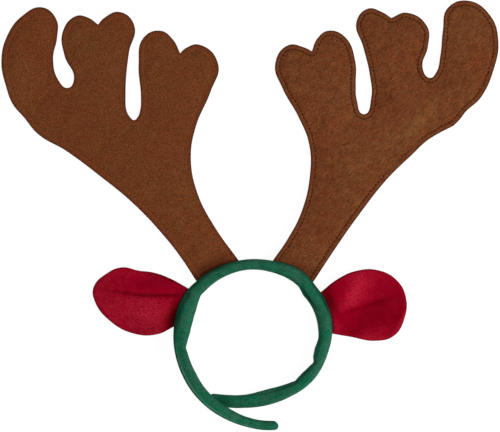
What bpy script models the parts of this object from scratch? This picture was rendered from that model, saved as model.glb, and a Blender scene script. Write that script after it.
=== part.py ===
"""Reindeer antler headband: a cloth-covered hoop, two sewn felt antlers and two felt ears.

It lies on its back, as it would on a table. +Z is up, +Y points from the hoop towards the
antlers' tips, and the origin is on the table under the middle of the whole. Left and right are
as seen from above with the antlers at the top. Tables are in millimetres and degrees.
"""

import math

import bmesh
import bpy
from mathutils import Vector
from mathutils.geometry import delaunay_2d_cdt, intersect_point_line

MM = 0.001

# Cloth
FELT = 1.2
PUFF = 1.5
PUFF_REACH = 13.0
SEAM_ALLOWANCE = 3.6
SEAM_GAP = 0.3
ROOT_GAP = 0.3
EAR_THICKNESS = 2.6

# How finely the cloth is broken into flat pieces
STEPS_BETWEEN_KNOTS = 3
ANTLER_GRID = 10.0
EAR_GRID = 6.0
LEAST_INSET = 0.85
INSIDE_ONLY = 1
SAME_POINT = 0.0001

# Hoop
HOOP_CENTRE = (2.2, -87.8)
HOOP_SIDES = 12
HOOP_ROUNDNESS = 2.6
HOOP_STEP = 6.5
TIP_SHARES = (0.4, 0.7, 0.9, 0.97)

# One row for each section or fold of the hoop. Turn runs clockwise from the antlers' side, outer
# and inner are the cloth's distances from the hoop's centre, lift is the height of its underside,
# and width is its size across. The left end passes over the right one.
HOOP_COLUMNS = ("turn", "outer", "inner", "lift", "width")
HOOP_ROWS = (
    (-195.5, 74.4, 67.8, 12.4, 11.0),
    (-185.0, 72.2, 65.2, 12.4, 11.6),
    (-176.0, 69.7, 62.8, 12.4, 12.0),
    (-162.0, 67.0, 58.7, 12.4, 12.2),
    (-152.0, 65.4, 56.8, 12.4, 12.4),
    (-142.0, 63.9, 55.0, 12.4, 12.8),
    (-134.0, 62.9, 53.6, 12.2, 13.2),
    (-125.0, 61.8, 52.1, 11.2, 13.8),
    (-113.0, 60.7, 51.4, 9.0, 14.8),
    (-101.5, 60.0, 51.1, 6.5, 15.4),
    (-90.0, 59.6, 47.4, 4.2, 15.8),
    (-80.0, 59.3, 46.1, 2.6, 16.0),
    (-68.0, 59.4, 46.1, 1.1, 16.0),
    (-54.6, 58.8, 48.2, 0.2, 16.0),
    (-47.0, 57.4, 48.0, 0.0, 16.0),
    (-30.0, 56.0, 47.6, 0.0, 16.0),
    (-12.0, 55.5, 47.8, 0.0, 16.0),
    (3.0, 55.6, 48.0, 0.0, 16.0),
    (15.0, 56.2, 48.0, 0.0, 16.0),
    (24.0, 57.7, 48.3, 0.0, 16.0),
    (36.0, 59.3, 49.0, 0.0, 16.0),
    (44.3, 59.6, 49.2, 0.0, 16.0),
    (53.0, 58.8, 47.3, 0.0, 16.0),
    (62.0, 59.7, 48.2, 0.0, 16.0),
    (78.0, 60.1, 49.0, 0.0, 16.0),
    (94.0, 59.2, 49.5, 0.0, 16.0),
    (104.0, 58.2, 47.9, 0.0, 16.0),
    (111.0, 58.0, 48.6, 0.0, 15.8),
    (115.8, 57.9, 50.3, 0.0, 15.6),
    (128.0, 57.4, 47.9, 0.0, 15.2),
    (138.7, 56.4, 47.6, 0.0, 14.8),
    (150.0, 55.2, 45.3, 0.0, 14.2),
    (163.0, 55.0, 43.6, 0.0, 13.4),
    (175.0, 55.4, 44.3, 0.0, 12.8),
    (186.0, 56.3, 46.6, 0.0, 12.4),
    (199.0, 59.0, 49.5, 0.0, 12.0),
    (208.0, 61.2, 52.4, 0.0, 11.8),
    (216.0, 63.0, 55.8, 0.0, 11.6),
)

# Antlers. Each outline runs clockwise from the hoop and back to it, in millimetres from the
# antler's foot. A corner is where the cut turns sharply, as between two lobes.
FOOT_HEIGHT = 8.0
OFF_FLOOR = 0.05
REST_HEIGHT = SEAM_GAP / 2 + FELT + PUFF + OFF_FLOOR
DROOP_START = 8.0
DROOP_END = 105.0

OUTLINE_COLUMNS = ("x", "y", "corner")
ANTLER_LEFT_FOOT = (-24.0, -41.0)
ANTLER_LEFT_TURNS = (-47.3, -11.2)
ANTLER_LEFT_ROWS = (
    (-27.0, 9.0, False),
    (-39.0, 24.5, False),
    (-64.0, 51.0, False),
    (-89.0, 71.5, False),
    (-114.0, 90.0, False),
    (-135.0, 102.5, False),
    (-145.5, 115.0, False),
    (-154.0, 125.0, False),
    (-158.5, 136.5, False),
    (-162.5, 157.5, False),
    (-158.0, 176.5, False),
    (-147.0, 191.0, False),
    (-132.0, 197.5, False),
    (-121.5, 188.5, False),
    (-121.0, 175.5, False),
    (-124.0, 159.0, False),
    (-120.0, 143.0, False),
    (-112.5, 137.0, False),
    (-108.0, 144.0, False),
    (-115.0, 161.0, False),
    (-116.5, 179.0, False),
    (-106.5, 191.0, False),
    (-98.0, 190.0, False),
    (-90.0, 184.5, True),
    (-85.5, 189.5, False),
    (-73.5, 194.0, False),
    (-63.0, 184.0, False),
    (-67.0, 164.0, False),
    (-69.6, 131.0, False),
    (-68.6, 119.5, False),
    (-66.0, 115.0, False),
    (-63.0, 112.8, False),
    (-60.2, 115.2, False),
    (-58.3, 120.5, False),
    (-57.8, 131.0, False),
    (-59.5, 155.0, False),
    (-56.0, 174.5, False),
    (-43.5, 180.0, False),
    (-34.0, 173.5, False),
    (-28.5, 163.0, True),
    (-24.0, 167.0, False),
    (-14.0, 169.5, False),
    (0.0, 155.0, False),
    (-5.5, 135.0, False),
    (-17.0, 107.5, False),
    (-20.5, 84.5, False),
    (-15.5, 58.0, False),
    (-3.0, 33.5, False),
)
ANTLER_RIGHT_FOOT = (32.5, -41.0)
ANTLER_RIGHT_TURNS = (15.4, 49.7)
ANTLER_RIGHT_ROWS = (
    (-4.0, 24.0, False),
    (6.0, 43.5, False),
    (12.5, 71.0, False),
    (12.0, 95.0, False),
    (4.0, 115.5, False),
    (-8.0, 137.0, False),
    (-13.5, 155.0, False),
    (-4.0, 169.0, False),
    (8.0, 167.5, False),
    (14.0, 164.5, True),
    (18.0, 174.0, False),
    (26.5, 180.0, False),
    (39.0, 175.0, False),
    (46.5, 156.5, False),
    (46.8, 140.0, False),
    (47.6, 128.0, False),
    (53.0, 117.3, False),
    (58.6, 129.5, False),
    (57.6, 147.0, False),
    (52.5, 168.5, False),
    (47.5, 186.5, False),
    (56.0, 196.5, False),
    (66.5, 194.0, False),
    (73.5, 189.5, True),
    (85.0, 193.5, False),
    (100.5, 183.0, False),
    (101.0, 168.5, False),
    (97.0, 152.0, False),
    (102.5, 144.5, False),
    (107.3, 148.5, False),
    (110.6, 161.5, False),
    (112.5, 180.5, False),
    (116.0, 197.0, False),
    (131.0, 202.5, False),
    (148.0, 191.0, False),
    (153.8, 172.0, False),
    (150.3, 151.0, False),
    (140.3, 129.5, False),
    (129.5, 119.5, False),
    (124.6, 113.2, False),
    (120.2, 108.8, True),
    (107.5, 102.2, False),
    (99.5, 97.0, False),
    (90.0, 88.0, False),
    (70.5, 69.0, False),
    (51.0, 44.5, False),
    (27.5, 11.0, False),
)

# Ears. Each is folded along a crease from its root. Along is the distance out along the crease,
# crease is its height there, and above and below are how steeply the cloth climbs from it. The
# left ear is folded over a ridge and the right one into a valley.
FOLD_COLUMNS = ("along", "crease", "above", "below")
EAR_LEFT_FOOT = (-52.0, -68.0)
EAR_LEFT_TURNS = (-85.2, -55.2)
EAR_LEFT_ROWS = (
    (-17.0, -20.5, False),
    (-34.5, -20.5, False),
    (-53.0, -11.0, False),
    (-65.0, 5.0, False),
    (-65.5, 14.5, False),
    (-55.5, 25.0, False),
    (-44.0, 29.5, False),
    (-31.5, 27.0, False),
    (-20.0, 25.5, False),
    (-8.5, 21.5, False),
)
EAR_LEFT_CREASE = ((-2.0, 8.9), (-54.5, 12.5))
EAR_LEFT_FOLD = (
    (5.0, 9.2, 0.0, 0.06),
    (12.0, 9.8, -0.10, 0.05),
    (22.0, 9.8, -0.30, -0.08),
    (36.0, 8.6, -0.36, -0.24),
    (50.0, 6.0, -0.26, -0.17),
    (66.0, 3.0, -0.05, -0.05),
)
EAR_RIGHT_FOOT = (58.5, -72.0)
EAR_RIGHT_TURNS = (58.8, 90.4)
EAR_RIGHT_ROWS = (
    (7.5, 25.0, False),
    (21.5, 31.0, False),
    (37.0, 31.5, False),
    (51.5, 24.0, False),
    (58.5, 11.0, False),
    (57.0, -5.5, False),
    (49.0, -18.0, False),
    (35.0, -21.5, False),
    (16.5, -18.5, False),
)
EAR_RIGHT_CREASE = ((4.5, -1.9), (39.7, 9.8))
EAR_RIGHT_FOLD = (
    (2.0, 8.4, 0.0, 0.0),
    (10.0, 6.6, 0.12, 0.14),
    (20.0, 4.4, 0.26, 0.34),
    (34.0, 3.4, 0.26, 0.44),
    (46.0, 4.2, 0.14, 0.34),
    (60.0, 6.0, 0.02, 0.06),
)
CREASE_SOFTNESS = 2.5
FOLD_REACH = 16.0

# Colours and finish
GREEN_CLOTH = (0.018, 0.102, 0.058, 1.0)
BROWN_FELT = (0.138, 0.042, 0.014, 1.0)
BROWN_FELT_RIGHT = (0.156, 0.050, 0.018, 1.0)
RED_FELT = (0.258, 0.004, 0.014, 1.0)
COVER_ROUGHNESS = 0.9
FELT_ROUGHNESS = 0.95


def smoothstep(share):
    """0 up to 0, 1 from 1, and a soft step between."""
    share = min(1.0, max(0.0, share))
    return share * share * (3.0 - 2.0 * share)


def table_at(rows, columns, value):
    """The named values of a table where its first column has this value, on straight runs."""
    table = [dict(zip(columns, row)) for row in rows]
    key = columns[0]
    value = min(table[-1][key], max(table[0][key], value))
    for low, high in zip(table, table[1:]):
        if value <= high[key]:
            share = (value - low[key]) / (high[key] - low[key])
            return {name: low[name] + share * (high[name] - low[name]) for name in columns}
    return table[-1]


def hoop_at(turn):
    """The hoop's sizes at a turn."""
    return table_at(HOOP_ROWS, HOOP_COLUMNS, turn)


def from_hoop_centre(turn, radius):
    """The step from the hoop's centre to a point this far out at a turn."""
    angle = math.radians(turn)
    return Vector((radius * math.sin(angle), radius * math.cos(angle)))


def cloth(name, colour, roughness):
    """A plain cloth finish."""
    made = bpy.data.materials.new(name)
    made.use_nodes = True
    shader = made.node_tree.nodes["Principled BSDF"]
    shader.inputs["Base Color"].default_value = colour
    shader.inputs["Roughness"].default_value = roughness
    shader.inputs["Metallic"].default_value = 0.0
    return made


def add_piece(name, built, collection, finish, place):
    """A named object from a bmesh in millimetres about its own place."""
    bmesh.ops.scale(built, vec=(MM, MM, MM), verts=built.verts)
    mesh = bpy.data.meshes.new(name)
    built.to_mesh(mesh)
    built.free()
    mesh.materials.append(finish)
    piece = bpy.data.objects.new(name, mesh)
    piece.location = Vector((place[0], place[1], 0.0)) * MM
    collection.objects.link(piece)
    return piece


def section_corners(turn, scale=1.0):
    """One section of the hoop: a rounded box with flat faces out, in, up and down."""
    size = hoop_at(turn)
    middle = (size["outer"] + size["inner"]) / 2
    half_depth = (size["outer"] - size["inner"]) / 2
    half_width = size["width"] / 2
    power = 2 / HOOP_ROUNDNESS
    angles = [math.radians((side + 0.5) * 360 / HOOP_SIDES) for side in range(HOOP_SIDES)]
    flat = math.cos(angles[0]) ** power
    corners = []
    for angle in angles:
        depth = math.copysign(abs(math.cos(angle)) ** power, math.cos(angle)) / flat
        rise = math.copysign(abs(math.sin(angle)) ** power, math.sin(angle)) / flat
        x, y = from_hoop_centre(turn, middle + half_depth * depth * scale)
        corners.append((x, y, size["lift"] + half_width * (1 + rise * scale)))
    return corners


def tip_sections(end_turn, towards_body):
    """The shrinking sections that round off one end of the hoop, from its body outwards."""
    size = hoop_at(end_turn)
    length = math.degrees((size["outer"] - size["inner"]) / (size["outer"] + size["inner"]))
    sections = []
    for share in TIP_SHARES:
        turn = end_turn + towards_body * length * (1 - share)
        sections.append(section_corners(turn, math.sqrt(1 - share * share)))
    return sections, end_turn + towards_body * length


def hoop_sections():
    """All sections of the hoop, from its left end clockwise to its right end."""
    left_tip, body_start = tip_sections(HOOP_ROWS[0][0], 1)
    right_tip, body_end = tip_sections(HOOP_ROWS[-1][0], -1)
    stops = [body_start]
    stops += [row[0] for row in HOOP_ROWS if body_start < row[0] < body_end]
    stops.append(body_end)
    body = [section_corners(body_start)]
    for low, high in zip(stops, stops[1:]):
        steps = max(1, round((high - low) / HOOP_STEP))
        body += [section_corners(low + (high - low) * step / steps) for step in range(1, steps + 1)]
    return left_tip[::-1] + body + right_tip


def loft(sections):
    """A closed body through sections of equally many corners, capped at both ends."""
    built = bmesh.new()
    rings = [[built.verts.new(corner) for corner in section] for section in sections]
    for ring, after in zip(rings, rings[1:]):
        for side in range(len(ring)):
            back = side - 1
            built.faces.new((ring[back], ring[side], after[side], after[back]))
    built.faces.new(rings[0])
    built.faces.new(reversed(rings[-1]))
    bmesh.ops.recalc_face_normals(built, faces=built.faces)
    return built


def smooth_line(knots):
    """Points along a smooth line through the knots, with a sharp turn at each corner."""
    curve = bpy.data.curves.new("Line", "CURVE")
    curve.dimensions = "2D"
    curve.resolution_u = STEPS_BETWEEN_KNOTS
    spline = curve.splines.new("BEZIER")
    spline.bezier_points.add(len(knots) - 1)
    for point, row in zip(spline.bezier_points, knots):
        knot = dict(zip(OUTLINE_COLUMNS, row))
        point.co = (knot["x"], knot["y"], 0.0)
        point.handle_left_type = "VECTOR" if knot["corner"] else "AUTO"
        point.handle_right_type = "VECTOR" if knot["corner"] else "AUTO"
    guide = bpy.data.objects.new("Line", curve)
    bpy.context.scene.collection.objects.link(guide)
    evaluated = guide.evaluated_get(bpy.context.evaluated_depsgraph_get())
    line = bpy.data.meshes.new_from_object(evaluated)
    points = [vertex.co.xy for vertex in line.vertices]
    bpy.data.objects.remove(guide)
    bpy.data.curves.remove(curve)
    bpy.data.meshes.remove(line)
    return points


def cut_outline(rows, foot, turns):
    """The closed outline of a piece that is sewn to the hoop between two turns."""
    def on_hoop(turn):
        reach = hoop_at(turn)["outer"] + ROOT_GAP
        return Vector(HOOP_CENTRE) + from_hoop_centre(turn, reach) - Vector(foot)

    start, end = turns
    first, last = on_hoop(start), on_hoop(end)
    points = smooth_line([(*first, False), *rows, (*last, False)])
    steps = math.ceil((end - start) / HOOP_STEP)
    points += [on_hoop(end + (start - end) * step / steps) for step in range(1, steps)]
    return points


def edge_distance(point, outline):
    """How far a point lies from the outline."""
    nearest = math.inf
    for start, end in zip(outline, outline[1:] + outline[:1]):
        _, share = intersect_point_line(point, start, end)
        share = min(1.0, max(0.0, share))
        nearest = min(nearest, (start.lerp(end, share) - point).length)
    return nearest


def is_inside(point, outline):
    """Whether a point lies inside the outline."""
    inside = False
    for start, end in zip(outline, outline[1:] + outline[:1]):
        if (start.y > point.y) != (end.y > point.y):
            crossing = start.x + (point.y - start.y) * (end.x - start.x) / (end.y - start.y)
            if point.x < crossing:
                inside = not inside
    return inside


def inset_points(outline, inset):
    """Points this far inside a clockwise outline, one for each of its points."""
    points = []
    for before, point, after in zip(outline[-1:] + outline, outline, outline[1:] + outline[:1]):
        run = (after - before).normalized()
        moved = point + inset * Vector((run.y, -run.x))
        if edge_distance(moved, outline) > LEAST_INSET * inset:
            points.append(moved)
    return points


def grid_points(outline, spacing, clear):
    """Points of a triangular grid inside the outline and clear of its edge."""
    low_x = min(point.x for point in outline)
    high_x = max(point.x for point in outline)
    low_y = min(point.y for point in outline)
    high_y = max(point.y for point in outline)
    row_height = spacing * math.sqrt(3) / 2
    points = []
    for row in range(math.ceil((high_y - low_y) / row_height)):
        shift = spacing / 2 * (row % 2)
        for column in range(math.ceil((high_x - low_x) / spacing)):
            point = Vector((low_x + shift + column * spacing, low_y + row * row_height))
            if is_inside(point, outline) and edge_distance(point, outline) > clear:
                points.append(point)
    return points


def sheet(outline, inset, spacing, height):
    """An open sheet that fills the outline, facing up, each point at the height given for it."""
    points = list(outline)
    edges = [(index - 1, index) for index in range(1, len(outline))]
    edges.append((len(outline) - 1, 0))
    points += inset_points(outline, inset)
    points += grid_points(outline, spacing, inset + spacing / 2)
    flat_points, _, triangles, _, _, _ = delaunay_2d_cdt(points, edges, [], INSIDE_ONLY, SAME_POINT)
    built = bmesh.new()
    corners = [built.verts.new((p.x, p.y, height(p, edge_distance(p, outline)))) for p in flat_points]
    for triangle in triangles:
        built.faces.new([corners[index] for index in triangle])
    bmesh.ops.recalc_face_normals(built, faces=built.faces)
    if sum(face.normal.z for face in built.faces) < 0:
        bmesh.ops.reverse_faces(built, faces=built.faces)
    return built


def add_wall(piece, thickness, offset):
    """Gives an open sheet its thickness."""
    wall = piece.modifiers.new("Wall", "SOLIDIFY")
    wall.thickness = thickness * MM
    wall.offset = offset
    wall.use_even_offset = True


def antler_middle(point):
    """The height midway between an antler's two panels."""
    down = smoothstep((point.y - DROOP_START) / (DROOP_END - DROOP_START))
    return FOOT_HEIGHT + (REST_HEIGHT - FOOT_HEIGHT) * down


def puff(from_edge):
    """How far the filling pushes a panel out from the seam, at this distance from the edge."""
    short = 1.0 - min(1.0, max(0.0, from_edge - SEAM_ALLOWANCE) / PUFF_REACH)
    return PUFF * (1.0 - short * short)


def add_antler(name, rows, foot, turns, collection, finish):
    """An antler sewn from a front and a back panel of felt, with filling between them."""
    outline = cut_outline(rows, foot, turns)
    for part, side in (("front", 1), ("back", -1)):
        def height(point, from_edge):
            return antler_middle(point) + side * (SEAM_GAP / 2 + puff(from_edge))

        built = sheet(outline, SEAM_ALLOWANCE, ANTLER_GRID, height)
        piece = add_piece(f"{name}_{part}", built, collection, finish, foot)
        add_wall(piece, FELT, side)


def along_crease(point, crease):
    """How far a point lies along a crease from its start, and how far above it."""
    start, end = Vector(crease[0]), Vector(crease[1])
    run = (end - start).normalized()
    above = Vector((-run.y, run.x)) * math.copysign(1.0, run.x)
    step = point - start
    return step.dot(run), step.dot(above)


def ear_height(point, crease, rows):
    """The height of a folded ear at a point."""
    along, above = along_crease(point, crease)
    fold = table_at(rows, FOLD_COLUMNS, along)
    away = math.hypot(above, CREASE_SOFTNESS) - CREASE_SOFTNESS
    climb = fold["above"] if above > 0 else fold["below"]
    reach = FOLD_REACH if climb > 0 else away
    return max(fold["crease"] + climb * min(away, reach), EAR_THICKNESS / 2 + OFF_FLOOR)


def left_ear_height(point, from_edge):
    """The left ear is folded over a ridge."""
    return ear_height(point, EAR_LEFT_CREASE, EAR_LEFT_FOLD)


def right_ear_height(point, from_edge):
    """The right ear is folded into a valley."""
    return ear_height(point, EAR_RIGHT_CREASE, EAR_RIGHT_FOLD)


def add_ear(name, rows, foot, turns, height, collection, finish):
    """An ear of doubled felt."""
    outline = cut_outline(rows, foot, turns)
    built = sheet(outline, EAR_GRID / 2, EAR_GRID, height)
    piece = add_piece(name, built, collection, finish, foot)
    add_wall(piece, EAR_THICKNESS, 0.0)


def main():
    for old in list(bpy.data.objects):
        bpy.data.objects.remove(old)
    headband = bpy.data.collections.new("Reindeer antler headband")
    bpy.context.scene.collection.children.link(headband)

    green = cloth("Green cover", GREEN_CLOTH, COVER_ROUGHNESS)
    add_piece("hoop", loft(hoop_sections()), headband, green, HOOP_CENTRE)
    brown_left = cloth("Brown felt, left", BROWN_FELT, FELT_ROUGHNESS)
    left_cut = (ANTLER_LEFT_ROWS, ANTLER_LEFT_FOOT, ANTLER_LEFT_TURNS)
    add_antler("antler_left", *left_cut, headband, brown_left)
    brown_right = cloth("Brown felt, right", BROWN_FELT_RIGHT, FELT_ROUGHNESS)
    right_cut = (ANTLER_RIGHT_ROWS, ANTLER_RIGHT_FOOT, ANTLER_RIGHT_TURNS)
    add_antler("antler_right", *right_cut, headband, brown_right)
    red = cloth("Red felt", RED_FELT, FELT_ROUGHNESS)
    left_cut = (EAR_LEFT_ROWS, EAR_LEFT_FOOT, EAR_LEFT_TURNS)
    add_ear("ear_left", *left_cut, left_ear_height, headband, red)
    right_cut = (EAR_RIGHT_ROWS, EAR_RIGHT_FOOT, EAR_RIGHT_TURNS)
    add_ear("ear_right", *right_cut, right_ear_height, headband, red)


main()
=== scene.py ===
"""The reindeer antler headband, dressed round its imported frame.

It lies on its back on a pale floor and is seen from straight above. +Z is up and +Y points from
the hoop towards the antlers' tips. Left and right are as seen from above. Tables are in
millimetres and degrees, settings and meshes in metres.
"""

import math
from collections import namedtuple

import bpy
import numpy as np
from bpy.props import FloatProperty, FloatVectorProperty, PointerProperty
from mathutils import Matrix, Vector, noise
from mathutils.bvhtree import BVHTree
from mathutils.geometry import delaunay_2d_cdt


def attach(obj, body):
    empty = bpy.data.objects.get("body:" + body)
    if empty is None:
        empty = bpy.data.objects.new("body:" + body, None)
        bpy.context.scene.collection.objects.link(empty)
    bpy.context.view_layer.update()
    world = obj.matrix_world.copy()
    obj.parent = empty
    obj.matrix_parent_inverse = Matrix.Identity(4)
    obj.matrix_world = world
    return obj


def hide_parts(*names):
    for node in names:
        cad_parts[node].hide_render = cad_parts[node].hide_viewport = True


bl_info = {
    "name": "Reindeer antler headband",
    "version": (1, 0, 0),
    "blender": (4, 5, 0),
    "location": "3D View > Sidebar > Headband",
    "description": "Felt antlers and ears on a cloth-covered hoop, and the studio that shows them",
    "category": "Add Mesh",
}

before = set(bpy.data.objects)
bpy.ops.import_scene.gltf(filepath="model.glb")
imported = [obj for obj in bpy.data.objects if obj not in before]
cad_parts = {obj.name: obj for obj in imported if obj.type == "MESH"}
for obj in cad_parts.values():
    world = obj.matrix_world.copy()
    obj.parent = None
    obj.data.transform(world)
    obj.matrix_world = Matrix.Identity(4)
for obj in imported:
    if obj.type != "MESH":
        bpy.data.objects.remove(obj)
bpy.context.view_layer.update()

MM = 0.001
BODY = "root"

# Hoop. One row for each section or fold. Turn runs clockwise from the antlers' side, outer and
# inner are the cloth's distances from the hoop's centre, lift is the height of its underside, and
# width is its size across. The left end passes over the right one.
HOOP_CENTRE = np.array((2.2, -87.8))
HOOP_ROUNDNESS = 2.6
HOOP_COLUMNS = ("turn", "outer", "inner", "lift", "width")
HOOP_ROWS = (
    (-195.5, 74.4, 67.8, 12.4, 11),
    (-185, 72.2, 65.2, 12.4, 11.6),
    (-176, 69.7, 62.8, 12.4, 12),
    (-162, 67, 58.7, 12.4, 12.2),
    (-152, 65.4, 56.8, 12.4, 12.4),
    (-142, 63.9, 55, 12.4, 12.8),
    (-134, 62.9, 53.6, 12.2, 13.2),
    (-125, 61.8, 52.1, 11.2, 13.8),
    (-113, 60.7, 51.4, 9, 14.8),
    (-101.5, 60, 51.1, 6.5, 15.4),
    (-90, 59.6, 47.4, 4.2, 15.8),
    (-80, 59.3, 46.1, 2.6, 16),
    (-68, 59.4, 46.1, 1.1, 16),
    (-54.6, 58.8, 48.2, 0.2, 16),
    (-47, 57.4, 48, 0, 16),
    (-30, 56, 47.6, 0, 16),
    (-12, 55.5, 47.8, 0, 16),
    (3, 55.6, 48, 0, 16),
    (15, 56.2, 48, 0, 16),
    (24, 57.7, 48.3, 0, 16),
    (36, 59.3, 49, 0, 16),
    (44.3, 59.6, 49.2, 0, 16),
    (53, 58.8, 47.3, 0, 16),
    (62, 59.7, 48.2, 0, 16),
    (78, 60.1, 49, 0, 16),
    (94, 59.2, 49.5, 0, 16),
    (104, 58.2, 47.9, 0, 16),
    (111, 58, 48.6, 0, 15.8),
    (115.8, 57.9, 50.3, 0, 15.6),
    (128, 57.4, 47.9, 0, 15.2),
    (138.7, 56.4, 47.6, 0, 14.8),
    (150, 55.2, 45.3, 0, 14.2),
    (157, 55.1, 44.3, 0, 13.8),
    (163, 55, 43.8, 0, 13.4),
    (169, 55.2, 43.9, 0, 13.1),
    (175, 55.4, 44.4, 0, 12.8),
    (186, 56.3, 46.6, 0, 12.4),
    (199, 59, 49.5, 0, 12),
    (208, 61.2, 52.4, 0, 11.8),
    (216, 63, 55.8, 0, 11.6),
)
OUTER_SOFTNESS = 7.0
INNER_SOFTNESS = 2.2

# Dents in the cover. Round is the place on the section: 0 outwards, 90 on top, 180 inwards. Long
# and wide are how far the dent spreads along the hoop and round it, and deep is its depth. The
# columns are turn, round, long, wide and deep.
DENT_ROWS = (
    (-76, 46, 12, 18, 2.2),
    (-52, 42, 10, 14, 1.2),
    (-58, 36, 1.6, 22, 0.8),
    (-66, 40, 1.4, 20, 0.6),
    (-60, 60, 2.2, 12, 0.9),
    (-62, 68, 4, 24, 0.9),
    (-54, 165, 3, 60, 0.3),
    (-102.5, 160, 2.6, 60, 0.7),
    (-128, 120, 9, 14, 0.5),
    (53, 140, 6, 19, 2.6),
    (61, 147, 8, 18, 3.6),
    (72, 160, 5, 20, 1),
    (48, 34, 8, 14, 1),
    (66, 34, 9, 16, 1.8),
    (108, 150, 6.5, 22, 2.2),
    (116, 160, 2.4, 60, 0.8),
    (138.5, 160, 2.4, 60, 0.7),
    (150, 132, 9, 13, 1.2),
    (166, 126, 7, 12, 0.7),
    (20, 110, 3, 40, 0.35),
    (-30, 120, 3.5, 40, 0.3),
    (86, 100, 3, 40, 0.3),
)
# The sleeve's seam runs along the inner side. The wrinkles are noise in lumps of three sizes, with
# less of it along the outer and the inner side, and the folds among them run along the hoop.
SEAM_ROUND = 180.0
SEAM_WIDE = 7.0
SEAM_DEEP = 0.15
INNER_EASE = 0.4
FOLD_LUMP = 5.0
FOLD_STRETCH = (1.0, 0.45, 0.45)
FINE_LUMP = 2.6
FINE_SHARE = 0.5
FINE_SHIFT = 7.0
BROAD_LUMP = 14.0
BROAD_SHARE = 1.2
BROAD_SHIFT = 3.0
CALM_WIDE = 34.0
OUTER_CALM = 0.9
INNER_CALM = 0.85

# Painted light and shade on the cover, where it looks lighter or darker: painted shade on the outer
# side beside the ears' roots, in the dents and where the left end lies over the right one, painted
# light on the sides that face the key light, and a light line along the left limb's outer side. The
# columns are turn, round, long, wide and tone, which is 1 where it changes nothing.
HOOP_TONE_ROWS = (
    (-78, 24, 13, 26, 0.36),
    (-56, 34, 14, 22, 0.6),
    (-61, 58, 3, 16, 0.5),
    (-48, 52, 3, 14, 0.7),
    (-66, 126, 20, 24, 1.3),
    (-88, 120, 10, 14, 1.25),
    (-30, 30, 12, 16, 0.8),
    (-36, 104, 12, 20, 0.8),
    (-138, 56, 34, 9, 4.5),
    (-132, 20, 46, 22, 0.1),
    (-96, 70, 14, 16, 1.3),
    (-112, 96, 20, 22, 0.72),
    (-150, 100, 16, 26, 1.12),
    (-172, 90, 12, 40, 1.3),
    (57, 148, 8, 17, 0.4),
    (66, 20, 13, 27, 0.2),
    (46, 24, 12, 18, 0.6),
    (60, 84, 9, 20, 1.2),
    (76, 100, 10, 20, 0.72),
    (94, 70, 12, 30, 1.25),
    (110, 134, 10, 24, 0.75),
    (127, 140, 9, 26, 0.62),
    (132, 44, 24, 22, 1.35),
    (148, 128, 10, 22, 0.66),
    (160, 80, 14, 30, 0.85),
    (176, 110, 12, 24, 1.15),
    (203, 76, 7, 28, 0.36),
    (206, 100, 4, 60, 0.6),
)

# Antlers. Each outline runs clockwise from the hoop and back to it, in millimetres from the
# antler's foot. A corner is where the cut turns sharply, as between two lobes. Turns are where it
# leaves the hoop and comes back to it.
CORNER = True
Cut = namedtuple("Cut", "rows foot turns")
ANTLER_LEFT_ROWS = (
    (-27, 9), (-39, 24.5), (-64, 51), (-89, 71.5), (-114, 90), (-135, 102.5), (-145.5, 115),
    (-154, 125), (-158.5, 136.5), (-162.5, 157.5), (-158, 176.5), (-147, 191), (-132, 197.5),
    (-121.5, 188.5), (-121, 175.5), (-124, 159), (-120, 143), (-112.5, 137), (-108, 144),
    (-115, 161), (-116.5, 179), (-106.5, 191), (-98, 190), (-90, 184.5, CORNER), (-85.5, 189.5),
    (-73.5, 194), (-63, 184), (-67, 164), (-69.6, 131), (-68.6, 119.5), (-66, 115),
    (-63, 112.8), (-60.2, 115.2), (-58.3, 120.5), (-57.8, 131), (-59.5, 155), (-56, 174.5),
    (-43.5, 180), (-34, 173.5), (-28.5, 163, CORNER), (-24, 167), (-14, 169.5), (0, 155),
    (-5.5, 135), (-17, 107.5), (-20.5, 84.5), (-15.5, 58), (-3, 33.5),
)
ANTLER_RIGHT_ROWS = (
    (-4, 24), (6, 43.5), (12.5, 71), (12, 95), (4, 115.5), (-8, 137), (-13.5, 155), (-4, 169),
    (8, 167.5), (14, 164.5, CORNER), (18, 174), (26.5, 180), (39, 175), (46.5, 156.5),
    (46.8, 140), (47.6, 128), (53, 117.3), (58.6, 129.5), (57.6, 147), (52.5, 168.5),
    (47.5, 186.5), (56, 196.5), (66.5, 194), (73.5, 189.5, CORNER), (85, 193.5), (100.5, 183),
    (101, 168.5), (97, 152), (102.5, 144.5), (107.3, 148.5), (110.6, 161.5), (112.5, 180.5),
    (116, 197), (131, 202.5), (148, 191), (153.8, 172), (150.3, 151), (140.3, 129.5),
    (129.5, 119.5), (124.6, 113.2), (120.2, 108.8, CORNER), (107.5, 102.2), (99.5, 97),
    (90, 88), (70.5, 69), (51, 44.5), (27.5, 11),
)
ANTLER_LEFT = Cut(ANTLER_LEFT_ROWS, (-24.0, -41.0), (-47.3, -11.2))
ANTLER_RIGHT = Cut(ANTLER_RIGHT_ROWS, (32.5, -41.0), (15.4, 49.7))
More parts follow.
